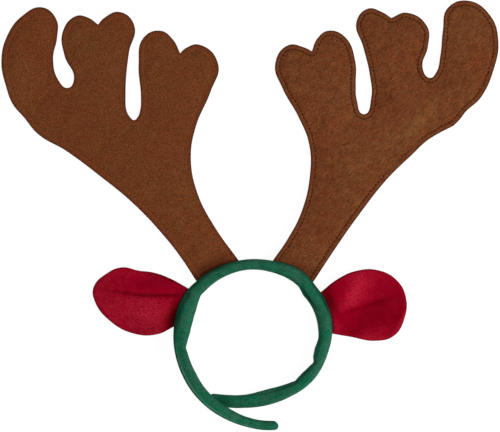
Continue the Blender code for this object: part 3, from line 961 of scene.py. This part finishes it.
def velour_material(name, colour):
    """Green velour: a short pile, greyish or lively, made lighter or darker by the cover's painted light and
    shade.
    """
    material, tree, shader = new_material(name, 0.9, 0.06, tone(colour, 3.0))
    fibres = place_group(tree, felt_fibres_group(), Grain=0.8, Tuft=1.8, Streak_Lay=(0.0, 0.0, 0.7),
                         Streak_Size=(2.6, 1.0, 1.0), Streak_Share=0.2, Contrast=5.0)
    clouds = place_group(tree, clouds_group(), Small=5.0, Large=20.0)
    nap = place_group(tree, shade_and_tint_group())
    shade = fibres["Shade"]
    lively = mix_colours(tree, shade, tinted(colour, 0.05, 0.74, 0.62), tinted(colour, 0.7, 1.26, 1.2))
    greyish = mix_colours(tree, shade, tinted(colour, 0.7, 0.74, 0.7), tinted(colour, 2.5, 1.32, 1.5))
    pile = mix_colours(tree, clouds["Hue"], lively, greyish)
    # Painted light and shade of the cover
    pile = scale_colour(tree, pile, mottle_and_shade_level(tree, clouds, nap, 0.14), 0.65)
    finish_material(tree, shader, pile, fibres["Height"], 0.3)
    return material


def ear_material(name, colour):
    """Red felt, speckled where its kept tint says, which on the ears follows the painted light, and with
    painted shade at its cut edge.
    """
    material, tree, shader = new_material(name, 0.95, 0.02, tone(colour, 1.5), specular=0.01)
    fibres = place_group(tree, felt_fibres_group(), Grain=0.75, Tuft=1.6, Streak_Lay=(0.0, 0.0, 0.9),
                         Streak_Size=(2.4, 0.9, 0.9), Streak_Share=0.12, Contrast=7.5)
    clouds = place_group(tree, clouds_group(), Small=6.0, Large=30.0)
    masks = place_group(tree, edge_group(), Edge_Width=0.9)
    nap = place_group(tree, shade_and_tint_group())
    shade = fibres["Shade"]
    speckled = mix_colours(tree, shade, tinted(colour, 0.76, 0.1, 0.68), tinted(colour, 1.24, 2.8, 1.6))
    smooth = mix_colours(tree, shade, tinted(colour, 0.88, 0.0, 0.84), tinted(colour, 1.1, 0.2, 1.05))
    # The kept tint follows the painted light here, so the specks are partly painted light
    share = hue_share(tree, (nap["Olive"], 0.5, 0.0), (clouds["Hue"], 0.5, 0.5))
    pile = mix_colours(tree, share, smooth, speckled)
    specks = maths(tree, "MULTIPLY", fibres["Speck"], share)
    pile = overlay(tree, pile, specks, 0.75, tinted(colour, 1.6, 11.0, 3.6))
    pile = scale_colour(tree, pile, mottle_and_shade_level(tree, clouds, nap, 0.08), 1.6)
    # Painted shade along the ear's cut edge
    pile = overlay(tree, pile, masks["Edge"], 0.55, tone(colour, 0.45))
    finish_material(tree, shader, pile, fibres["Height"], 0.3)
    return material


def thread_material(name, colour):
    """Twisted sewing thread."""
    material, tree, shader = new_material(name, 0.7, 0.1, tone(colour, 2.0))
    twist = place_group(tree, twist_group(), Pitch=0.7)
    nap = place_group(tree, shade_and_tint_group())
    thread = mix_colours(tree, twist["Shade"], tone(colour, 0.8), tone(colour, 1.2))
    finish_material(tree, shader, scale_colour(tree, thread, nap["Tone"]), twist["Height"], 0.08)
    return material


# Settings

def setting(name, description, default, most, least=0.0, unit="LENGTH"):
    """A setting that holds a number, in metres unless it says otherwise."""
    return FloatProperty(name=name, description=description, default=default, min=least, max=most,
                         unit=unit, precision=5)


def colour_setting(name, description, *levels):
    """A setting that holds a colour."""
    return FloatVectorProperty(name=name, description=description, subtype="COLOR", size=4, min=0.0,
                               max=1.0, default=(*levels, 1.0))


class HeadbandHoopSettings(bpy.types.PropertyGroup):
    """The cloth-covered hoop."""

    colour: colour_setting("Cover colour", "Colour of the green velour", 0.012, 0.088, 0.048)
    wrinkles: setting("Wrinkles", "Height of the small wrinkles in the cover", 0.00028, 0.002)


class HeadbandAntlerSettings(bpy.types.PropertyGroup):
    """The felt antlers."""

    felt: setting("Felt", "Thickness of the antlers' felt", 0.0012, 0.003, 0.0005)
    puff: setting("Filling", "How far the filling pushes a panel out", 0.0015, 0.004)
    pressure: setting("Pressure", "Pressure of the filling on the cloth", 0.5, 5.0, unit="NONE")
    left_colour: colour_setting("Left colour", "Colour of the left felt", 0.130, 0.037, 0.0110)
    right_colour: colour_setting("Right colour", "Colour of the right felt", 0.130, 0.039, 0.0125)


class HeadbandStitchSettings(bpy.types.PropertyGroup):
    """The topstitching round the antlers."""

    inset: setting("Inset", "Distance of the stitches from the cut edge", 0.0034, 0.01, 0.001)
    pitch: setting("Pitch", "Distance from one stitch to the next", 0.0029, 0.01, 0.001)
    length: setting("Length", "Length of one stitch", 0.0022, 0.01, 0.0005)
    thread: setting("Thread", "Thickness of the thread", 0.00075, 0.002, 0.0001)
    left_colour: colour_setting("Left thread", "Colour of the left thread", 0.185, 0.057, 0.021)
    right_colour: colour_setting("Right thread", "Colour of the right thread", 0.036, 0.011, 0.005)


class HeadbandEarSettings(bpy.types.PropertyGroup):
    """The felt ears."""

    thickness: setting("Thickness", "Thickness of an ear's two plies", 0.0026, 0.01, 0.001)
    colour: colour_setting("Colour", "Colour of the red felt", 0.250, 0.0035, 0.013)


class HeadbandStudioSettings(bpy.types.PropertyGroup):
    """The floor, the lights and the camera."""

    picture_width: setting("Picture width", "What the picture takes in across", 0.375, 2.0, 0.1)
    camera_height: setting("Camera height", "Height of the camera over the headband", 2.6, 10.0, 0.5)
    key_power: setting("Key light", "Power of the key light", 20.0, 500.0, unit="POWER")
    top_power: setting("Top light", "Power of the light overhead", 25.0, 500.0, unit="POWER")
    fill_strength: setting("Fill light", "Brightness of the white room", 0.35, 5.0, unit="NONE")
    floor_glow: setting("Floor glow", "Brightness of the glowing floor", 0.9, 5.0, unit="NONE")
    floor_colour: colour_setting("Floor colour", "Colour of the floor", 0.15, 0.15, 0.15)


# Pieces

def hoop_stations():
    """Turn and size share of each section of the cover, from one closed tip to the other."""
    first, last = HOOP_ROWS[0][0], HOOP_ROWS[-1][0]
    lengths = []
    for turn in (first, last):
        outer, inner = hoop_size("outer", turn), hoop_size("inner", turn)
        lengths.append(math.degrees((outer - inner) / (outer + inner)))
    body = np.arange(first + lengths[0], last - lengths[1], HOOP_STEP)
    angles = np.linspace(0.0, math.pi / 2, TIP_STEPS + 1)[1:]
    left = [(body[0] - lengths[0] * math.sin(angle), math.cos(angle)) for angle in angles[::-1]]
    right = [(body[-1] + lengths[1] * math.sin(angle), math.cos(angle)) for angle in angles]
    return np.array(left + [(turn, 1.0) for turn in body] + right)


def soft_spots(rows, turns, rounds):
    """The last number of each row, and the share of it that each place on the hoop gets."""
    for turn, place, long, wide, amount in rows:
        yield amount, bell(turns - turn, long) * bell(rounds - place, wide)


def hoop_surface(turns, rounds, shares, wrinkles):
    """Points of the cover at these turns and places round the section."""
    outer, inner = hoop_size("outer", turns), hoop_size("inner", turns) - INNER_EASE
    lift, width = hoop_size("lift", turns), hoop_size("width", turns)
    power = 2 / HOOP_ROUNDNESS
    angles = np.radians(rounds)
    depth, rise = (np.sign(part) * np.abs(part) ** power for part in (np.cos(angles), np.sin(angles)))
    half_depth, half_width = (outer - inner) / 2, width / 2
    reach = np.hypot(half_depth * depth, half_width * rise)
    dent = SEAM_DEEP * bell(rounds - SEAM_ROUND, SEAM_WIDE)
    for deep, share in soft_spots(DENT_ROWS, turns, rounds):
        dent = dent + deep * share
    flat = np.stack((np.radians(turns) * outer, reach * np.cos(angles), reach * np.sin(angles)), -1)
    fine = noise_at(flat * FOLD_STRETCH, FOLD_LUMP) + FINE_SHARE * noise_at(flat, FINE_LUMP, FINE_SHIFT)
    broad = noise_at(flat, BROAD_LUMP, BROAD_SHIFT)
    calm = 1.0 - OUTER_CALM * bell(rounds, CALM_WIDE) - INNER_CALM * bell(rounds - 180.0, CALM_WIDE)
    dent = dent - wrinkles * calm * (fine + BROAD_SHARE * broad)
    scale = shares * (1.0 - dent / np.maximum(reach, 1.0))
    radius = (outer + inner) / 2 + half_depth * depth * scale
    height = np.maximum(lift + half_width * (1.0 + rise * scale), OFF_FLOOR)
    return np.concatenate((on_hoop(turns, radius), height[:, None]), axis=1)


def hoop_tones(turns, rounds):
    """How much the painted light and shade lighten or darken the cover at these turns and places round the
    section.
    """
    tones = np.ones(len(turns))
    for level, share in soft_spots(HOOP_TONE_ROWS, turns, rounds):
        tones *= 1.0 + (level - 1.0) * share
    return tones


class HEADBAND_OT_hoop_cover(bpy.types.Operator):
    """Rolls a grid up into the velour cover of the hoop"""

    bl_idname = "headband.hoop_cover"
    bl_label = "Hoop cover"
    bl_options = {"REGISTER", "UNDO"}

    def execute(self, context):
        settings = context.scene.headband_hoop
        stations = hoop_stations()
        bpy.ops.object.select_all(action="DESELECT")
        bpy.ops.mesh.primitive_grid_add(
            x_subdivisions=len(stations) - 1, y_subdivisions=HOOP_SIDES, size=1.0)
        cover = context.object
        cover.name = "hoop_cover"
        flat = read_points(cover) * MM + 0.5
        sections = np.round(flat[:, 0] * (len(stations) - 1)).astype(int)
        rounds = 360.0 * np.round(flat[:, 1] * HOOP_SIDES) / HOOP_SIDES - 90.0
        turns, shares = stations[sections].T
        move_points(cover, hoop_surface(turns, rounds, shares, settings.wrinkles / MM))
        # Painted light and shade on the cover, for its material to read
        keep_value(cover, "tone", hoop_tones(turns, rounds))
        edit_mesh((bpy.ops.mesh.remove_doubles, {"threshold": WELD_METRES}),
                  (bpy.ops.mesh.normals_make_consistent, {"inside": False}))
        finish_piece(cover, ["hoop"], velour_material("Green velour", settings.colour))
        return {"FINISHED"}


def antler_middle(ys, cut, rest_height):
    """The height midway between an antler's two panels."""
    down = smoothstep((ys - cut.foot[1] - DROOP_START) / (DROOP_END - DROOP_START))
    return FOOT_HEIGHT + (rest_height - FOOT_HEIGHT) * down


def puff_shape(from_edge):
    """Share of the full puff at this distance from the cut edge."""
    short = 1.0 - np.clip((from_edge - SEAM_ALLOWANCE) / PUFF_REACH, 0.0, 1.0)
    return 1.0 - short * short


def start_filling(piece, held, pressure):
    """Gives a panel the cloth physics that its filling pushes out."""
    group = piece.vertex_groups.new(name="Seam")
    group.add(np.flatnonzero(held).tolist(), 1.0, "REPLACE")
    filling = piece.modifiers.new("Filling", "CLOTH")
    cloth = filling.settings
    cloth.vertex_group_mass = group.name
    cloth.quality = CLOTH_QUALITY
    cloth.bending_stiffness = CLOTH_BENDING
    cloth.use_pressure = True
    cloth.uniform_pressure_force = pressure
    cloth.shrink_min = -CLOTH_GROWTH
    cloth.effector_weights.gravity = 0.0
    filling.collision_settings.use_collision = False


def settle(pieces):
    """Runs the cloth of all these pieces together and keeps the shape that it ends in."""
    scene = bpy.context.scene
    for step in range(1, CLOTH_FRAMES + 1):
        scene.frame_set(step)
    for piece in pieces:
        apply_modifiers(piece)
    scene.frame_set(1)


class HEADBAND_OT_antlers(bpy.types.Operator):
    """Cuts, fills and thickens the front and back panels of both antlers"""

    bl_idname = "headband.antlers"
    bl_label = "Antlers"
    bl_options = {"REGISTER", "UNDO"}

    def execute(self, context):
        settings = context.scene.headband_antlers
        felt, puff = settings.felt / MM, settings.puff / MM
        rest_height = SEAM_GAP / 2 + felt + puff + OFF_FLOOR
        panels = []
        for antler in ANTLERS:
            colour = getattr(settings, f"{antler.side}_colour")
            material = felt_material(f"Brown felt, {antler.side}", colour, **antler.felt)
            outline = cut_outline(antler.cut, OUTLINE_STEP)
            flat, triangles = fill_outline(outline, ANTLER_INSETS, ANTLER_GRID)
            from_edge, _ = nearest_on(flat, outline)
            middle = antler_middle(flat[:, 1], antler.cut, rest_height)
            for part, side in PANELS:
                start = puff_shape(from_edge) * ((START_PUFF * puff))
                places = np.c_[flat, np.full(len(flat), SIDES_APART * side)]
                start = start * (1.0 + START_LUMPS * noise_at(places, START_LUMP))
                heights = middle + side * (SEAM_GAP / 2 + start)
                faces = triangles if side > 0 else [triangle[::-1] for triangle in triangles]
                piece = add_piece(f"felt_{antler.side}_{part}", np.c_[flat, heights], faces)
                panels.append((piece, antler, part, side, outline, material))
                move_points(piece, read_points(piece) * CLOTH_SCALE)
                start_filling(piece, from_edge <= SEAM_ALLOWANCE, settings.pressure)
        settle([panel[0] for panel in panels])
        for panel in panels:
            move_points(panel[0], read_points(panel[0]) / CLOTH_SCALE)
        for piece, antler, part, side, outline, material in panels:
            self.finish_panel(context, piece, side, antler.cut, outline, rest_height)
            # Tone and tint of the nap, and painted shade at the root by the hoop
            keep_patches(piece, antler.patches, antler.cut.foot)
            finish_piece(piece, [f"antler_{antler.side}_{part}"], material)
        return {"FINISHED"}

    def finish_panel(self, context, piece, side, cut, outline, rest_height):
        """Limits the puff, presses in the stitch line and gives a panel its thickness."""
        settings = context.scene.headband_antlers
        stitches = context.scene.headband_stitches
        subdivide(piece)
        points = read_points(piece)
        from_edge, along = nearest_on(points[:, :2], outline)
        middle = antler_middle(points[:, 1], cut, rest_height)
        most = settings.puff / MM * (FRONT_PUFF if side > 0 else 1.0)
        puffed = side * (points[:, 2] - middle) - SEAM_GAP / 2
        puffed = most * np.tanh(np.maximum(puffed, 0.0) / most)
        line = from_edge - stitches.inset / MM
        bunches = np.cos(2 * math.pi * along / (stitches.pitch / MM))
        puffed += SWELL_HEIGHT * smoothstep(from_edge / EDGE_RISE) * bell(line + SWELL_WIDE, SWELL_WIDE)
        puffed -= DIP_HEIGHT * bell(line, DIP_WIDE)
        puffed += BUNCH_HEIGHT * bunches * bell(line, BUNCH_WIDE)
        points[:, 2] = middle + side * (SEAM_GAP / 2 + np.maximum(puffed, 0.0))
        move_points(piece, points)
        wall = piece.modifiers.new("Felt", "SOLIDIFY")
        wall.thickness = settings.felt
        wall.offset = 1.0
        wall.use_even_offset = True
        rim = piece.modifiers.new("Rim", "BEVEL")
        rim.width = RIM_SHARE * settings.felt
        rim.segments = RIM_SEGMENTS
        rim.limit_method = "ANGLE"
        rim.angle_limit = math.radians(RIM_ANGLE)
        apply_modifiers(piece)
        keep_value(piece, "edge_mm", nearest_on(read_points(piece)[:, :2], outline)[0])


def model_stitch(length, thread):
    """One stitch along X: a thread that comes up out of the cloth and dips back into it."""
    bpy.ops.object.select_all(action="DESELECT")
    bpy.ops.mesh.primitive_cylinder_add(
        vertices=STITCH_SIDES, radius=thread / 2, depth=length, end_fill_type="NGON",
        rotation=(0.0, math.pi / 2, 0.0))
    stitch = bpy.context.object
    bpy.ops.object.transform_apply(location=True, rotation=True, scale=True)
    places = [(share * length, 0.0, 0.0) for share in STITCH_CUTS]
    edit_mesh(*((bpy.ops.mesh.bisect, {"plane_co": place, "plane_no": (1.0, 0.0, 0.0)}) for place in places))
    points = read_points(stitch)
    share = 2 * points[:, 0] * MM / length
    points[:, 1:] *= (1.0 - STITCH_TAPER * share ** 4)[:, None]
    points[:, 2] += thread / MM * (STITCH_LIFT - STITCH_DIP * share ** 4)
    faces = [tuple(polygon.vertices) for polygon in stitch.data.polygons]
    bpy.data.objects.remove(stitch)
    return points, faces


def sway(index):
    """How far a stitch leans, from -1 to 1: irregular, and the same each time."""
    return math.sin(index * 2.4 + 2.0 * math.sin(index * 0.7))


def sew(name, path, felt_piece, side, stitch, pitch, uneven):
    """A row of stitches laid along a path on one face of a panel, each a little askew."""
    points, faces = stitch
    surface = BVHTree.FromObject(felt_piece, bpy.context.evaluated_depsgraph_get())
    sites = evenly(path, pitch)
    ways = np.gradient(sites, axis=0)
    all_points, all_faces = [], []
    for index, (site, way) in enumerate(zip(sites, ways)):
        swing = uneven * sway(index)
        aside = STITCH_ASIDE * swing * np.array((-way[1], way[0])) / np.linalg.norm(way)
        start = Vector((*(site + aside), side * ABOVE_ALL)) * MM
        hit, normal, _, _ = surface.ray_cast(start, Vector((0.0, 0.0, -side)))
        if hit is None:
            continue
        up = np.array(normal)
        run = np.array((way[0], way[1], 0.0)) / np.linalg.norm(way)
        run = run + swing * np.array((-run[1], run[0], 0.0))
        run = run - up * run.dot(up)
        run /= np.linalg.norm(run)
        across = np.cross(up, run)
        placed = np.array(hit) / MM + points @ np.array((run, across, up))
        all_faces += [tuple(corner + len(points) * len(all_points) for corner in face) for face in faces]
        all_points.append(placed)
    return add_piece(name, np.concatenate(all_points), all_faces)


def stitch_path(cut, inset):
    """The line that the stitches follow, from the hoop round the antler and back."""
    edge, root = cut_line(cut, OUTLINE_STEP)
    outline = np.concatenate((edge, root[1:-1]))
    path = offset_line(edge, inset, closed=False)
    clear = nearest_on(path, edge, closed=False)[0] > LEAST_INSET * inset
    clear &= are_inside(path, outline)
    clear &= nearest_on(path, root, closed=False)[0] > FROM_ROOT
    return path[clear]


class HEADBAND_OT_topstitching(bpy.types.Operator):
    """Sews the stitches round the front and back of both antlers"""

    bl_idname = "headband.topstitching"
    bl_label = "Topstitching"
    bl_options = {"REGISTER", "UNDO"}

    def execute(self, context):
        settings = context.scene.headband_stitches
        stitch = model_stitch(settings.length, settings.thread)
        for antler in ANTLERS:
            colour = getattr(settings, f"{antler.side}_colour")
            material = thread_material(f"Brown thread, {antler.side}", colour)
            path = stitch_path(antler.cut, settings.inset / MM)
            for part, side in PANELS:
                felt_piece = bpy.data.objects[f"felt_{antler.side}_{part}"]
                row = sew(f"stitches_{antler.side}_{part}", path, felt_piece, side, stitch,
                          settings.pitch / MM, antler.uneven)
                keep_patches(row, antler.thread_patches, antler.cut.foot)
                finish_piece(row, [], material)
        return {"FINISHED"}


def crease_places(points, cut, crease):
    """How far each point lies along a crease from its start, and how far above it."""
    start, end = np.array(crease)
    run = (end - start) / np.linalg.norm(end - start)
    above = np.array((-run[1], run[0])) * math.copysign(1.0, run[0])
    steps = points - cut.foot - start
    return steps @ run, steps @ above


def fold_heights(points, cut, crease, rows, sag, seed):
    """The height of an ear's folded cloth: its crease, and panels that climb or fall away from it."""
    along, above = crease_places(points, cut, crease)
    above = above + sag * bell(along - SAG_PLACE, SAG_LENGTH)
    fold = {name: read_smoothly(rows, FOLD_COLUMNS, name, along, FOLD_SOFTNESS) for name in FOLD_COLUMNS}
    away = np.hypot(above, CREASE_SOFTNESS) - CREASE_SOFTNESS
    climb = np.where(above > 0, fold["above"], fold["below"])
    past = ROLL_SOFTNESS * np.log1p(np.exp((away - FOLD_REACH) / ROLL_SOFTNESS))
    places = np.c_[along / WAVE_STRETCH, above, np.zeros(len(along))]
    wave = WAVE_HEIGHT * noise_at(places, WAVE_LUMP, seed)
    return fold["crease"] + climb * (away - np.where(climb > 0, ROLL * past, 0.0)) + wave, along, above


def left_ear_heights(points):
    """The left ear is folded over a ridge, with a tuck along the far side of its crease."""
    heights, along, above = fold_heights(points, EAR_LEFT, EAR_LEFT_CREASE, EAR_LEFT_FOLD, LEFT_SAG, 2.0)
    tuck = TUCK_DEEP * bell(along - SAG_PLACE, SAG_LENGTH) * smoothstep((above + TUCK_START) / TUCK_WIDE)
    return np.maximum(heights - tuck, LEAST_HEIGHT)


def right_ear_heights(points):
    """The right ear is folded into a valley, and its far rim rolls over."""
    return fold_heights(points, EAR_RIGHT, EAR_RIGHT_CREASE, EAR_RIGHT_FOLD, 0.0, 5.0)[0]


class HEADBAND_OT_ears(bpy.types.Operator):
    """Cuts both ears, folds them and turns their two plies round a soft rim"""

    bl_idname = "headband.ears"
    bl_label = "Ears"
    bl_options = {"REGISTER", "UNDO"}

    def execute(self, context):
        settings = context.scene.headband_ears
        material = ear_material("Red felt", settings.colour)
        for side_name, cut, heights, patches in (
                ("left", EAR_LEFT, left_ear_heights, EAR_LEFT_PATCHES),
                ("right", EAR_RIGHT, right_ear_heights, EAR_RIGHT_PATCHES)):
            outline = cut_outline(cut, EAR_STEP)
            flat, triangles = fill_outline(outline, EAR_INSETS, EAR_GRID)
            ear = add_piece(f"felt_ear_{side_name}", np.c_[flat, heights(flat)], triangles)
            subdivide(ear)
            self.plump(ear, outline, settings.thickness / MM / 2)
            # Painted light and shade on the ear, and its speckle tint
            keep_patches(ear, patches, cut.foot)
            finish_piece(ear, [f"ear_{side_name}"], material)
        return {"FINISHED"}

    def plump(self, ear, outline, half):
        """Doubles an ear's cloth into two plies that meet in a soft rim."""
        points, normals = read_points(ear), read_normals(ear)
        from_edge, _ = nearest_on(points[:, :2], outline)
        round_off = np.clip(1.0 - from_edge / RIM_ROUND, 0.0, 1.0)
        swell = RIM_SWELL * smoothstep(from_edge / EDGE_RISE)
        swell = swell * bell(from_edge - RIM_SWELL_PLACE, RIM_SWELL_WIDE)
        thick = half * np.sqrt(1.0 - round_off ** 2) + swell
        rim = from_edge < SAME_POINT * 10
        count = len(points)
        below = np.arange(count) + count
        below[rim] = np.flatnonzero(rim)
        faces = [tuple(polygon.vertices) for polygon in ear.data.polygons]
        faces += [tuple(int(below[corner]) for corner in face[::-1]) for face in faces]
        offset = normals * thick[:, None]
        lower = points - offset
        lower[:, 2] = np.maximum(lower[:, 2], OFF_FLOOR)
        both = np.concatenate((points + offset, lower))
        mesh = bpy.data.meshes.new(ear.name)
        mesh.from_pydata((both * MM).tolist(), [], faces)
        old = ear.data
        ear.data = mesh
        bpy.data.meshes.remove(old)
        pick(ear)
        loose = {"use_verts": True, "use_edges": False, "use_faces": False}
        edit_mesh((bpy.ops.mesh.delete_loose, loose))
        keep_value(ear, "edge_mm", nearest_on(read_points(ear)[:, :2], outline)[0])


class HEADBAND_OT_studio(bpy.types.Operator):
    """Sets out the pale floor, the soft lights and the camera overhead"""

    bl_idname = "headband.studio"
    bl_label = "Studio"
    bl_options = {"REGISTER", "UNDO"}

    def execute(self, context):
        settings = context.scene.headband_studio
        scene = context.scene
        bpy.ops.object.select_all(action="DESELECT")
        bpy.ops.mesh.primitive_plane_add(size=FLOOR_WIDTH)
        floor = context.object
        floor.name = "floor"
        paper = bpy.data.materials.new("Floor")
        paper.use_nodes = True
        shader = paper.node_tree.nodes["Principled BSDF"]
        shader.inputs["Base Color"].default_value = settings.floor_colour
        shader.inputs["Roughness"].default_value = 0.9
        shader.inputs["Specular IOR Level"].default_value = 0.1
        shader.inputs["Emission Color"].default_value = WHITE
        shader.inputs["Emission Strength"].default_value = settings.floor_glow
        floor.data.materials.append(paper)
        world = bpy.data.worlds.new("Studio")
        world.use_nodes = True
        background = world.node_tree.nodes["Background"].inputs
        background["Color"].default_value = WHITE
        background["Strength"].default_value = settings.fill_strength
        scene.world = world
        for name, power, width, location in LAMPS:
            lamp = bpy.data.lights.new(name, "AREA")
            lamp.shape = "DISK"
            lamp.size = width
            lamp.energy = getattr(settings, power)
            light = bpy.data.objects.new(name, lamp)
            light.location = location
            light.rotation_euler = (-light.location).to_track_quat("-Z", "Y").to_euler()
            scene.collection.objects.link(light)
        lens = bpy.data.cameras.new("Camera")
        lens.sensor_fit = "HORIZONTAL"
        lens.lens = lens.sensor_width * settings.camera_height / settings.picture_width
        camera = bpy.data.objects.new("Camera", lens)
        camera.location = (0.0, 0.0, settings.camera_height + PICTURE_PLANE)
        scene.collection.objects.link(camera)
        scene.camera = camera
        scene.view_settings.view_transform = "Standard"
        return {"FINISHED"}


OPERATORS = (
    HEADBAND_OT_hoop_cover,
    HEADBAND_OT_antlers,
    HEADBAND_OT_topstitching,
    HEADBAND_OT_ears,
    HEADBAND_OT_studio,
)
SETTINGS = {
    "headband_hoop": HeadbandHoopSettings,
    "headband_antlers": HeadbandAntlerSettings,
    "headband_stitches": HeadbandStitchSettings,
    "headband_ears": HeadbandEarSettings,
    "headband_studio": HeadbandStudioSettings,
}


class HEADBAND_PT_sidebar(bpy.types.Panel):
    """Lists the headband's pieces, each with its settings"""

    bl_idname = "HEADBAND_PT_sidebar"
    bl_label = "Reindeer antler headband"
    bl_space_type = "VIEW_3D"
    bl_region_type = "UI"
    bl_category = "Headband"

    def draw(self, context):
        for operator, name in zip(OPERATORS, SETTINGS):
            box = self.layout.box()
            box.operator(operator.bl_idname)
            settings = getattr(context.scene, name)
            for key in settings.bl_rna.properties.keys():
                if key not in ("rna_type", "name"):
                    box.prop(settings, key)


def register():
    for name, group in SETTINGS.items():
        bpy.utils.register_class(group)
        setattr(bpy.types.Scene, name, PointerProperty(type=group))
    for kind in (*OPERATORS, HEADBAND_PT_sidebar):
        bpy.utils.register_class(kind)


def unregister():
    for kind in reversed((*OPERATORS, HEADBAND_PT_sidebar)):
        bpy.utils.unregister_class(kind)
    for name, group in reversed(SETTINGS.items()):
        delattr(bpy.types.Scene, name)
        bpy.utils.unregister_class(group)


def main():
    register()
    bpy.ops.headband.hoop_cover()
    bpy.ops.headband.antlers()
    bpy.ops.headband.topstitching()
    bpy.ops.headband.ears()
    bpy.ops.headband.studio()


if __name__ == "__main__":
    main()
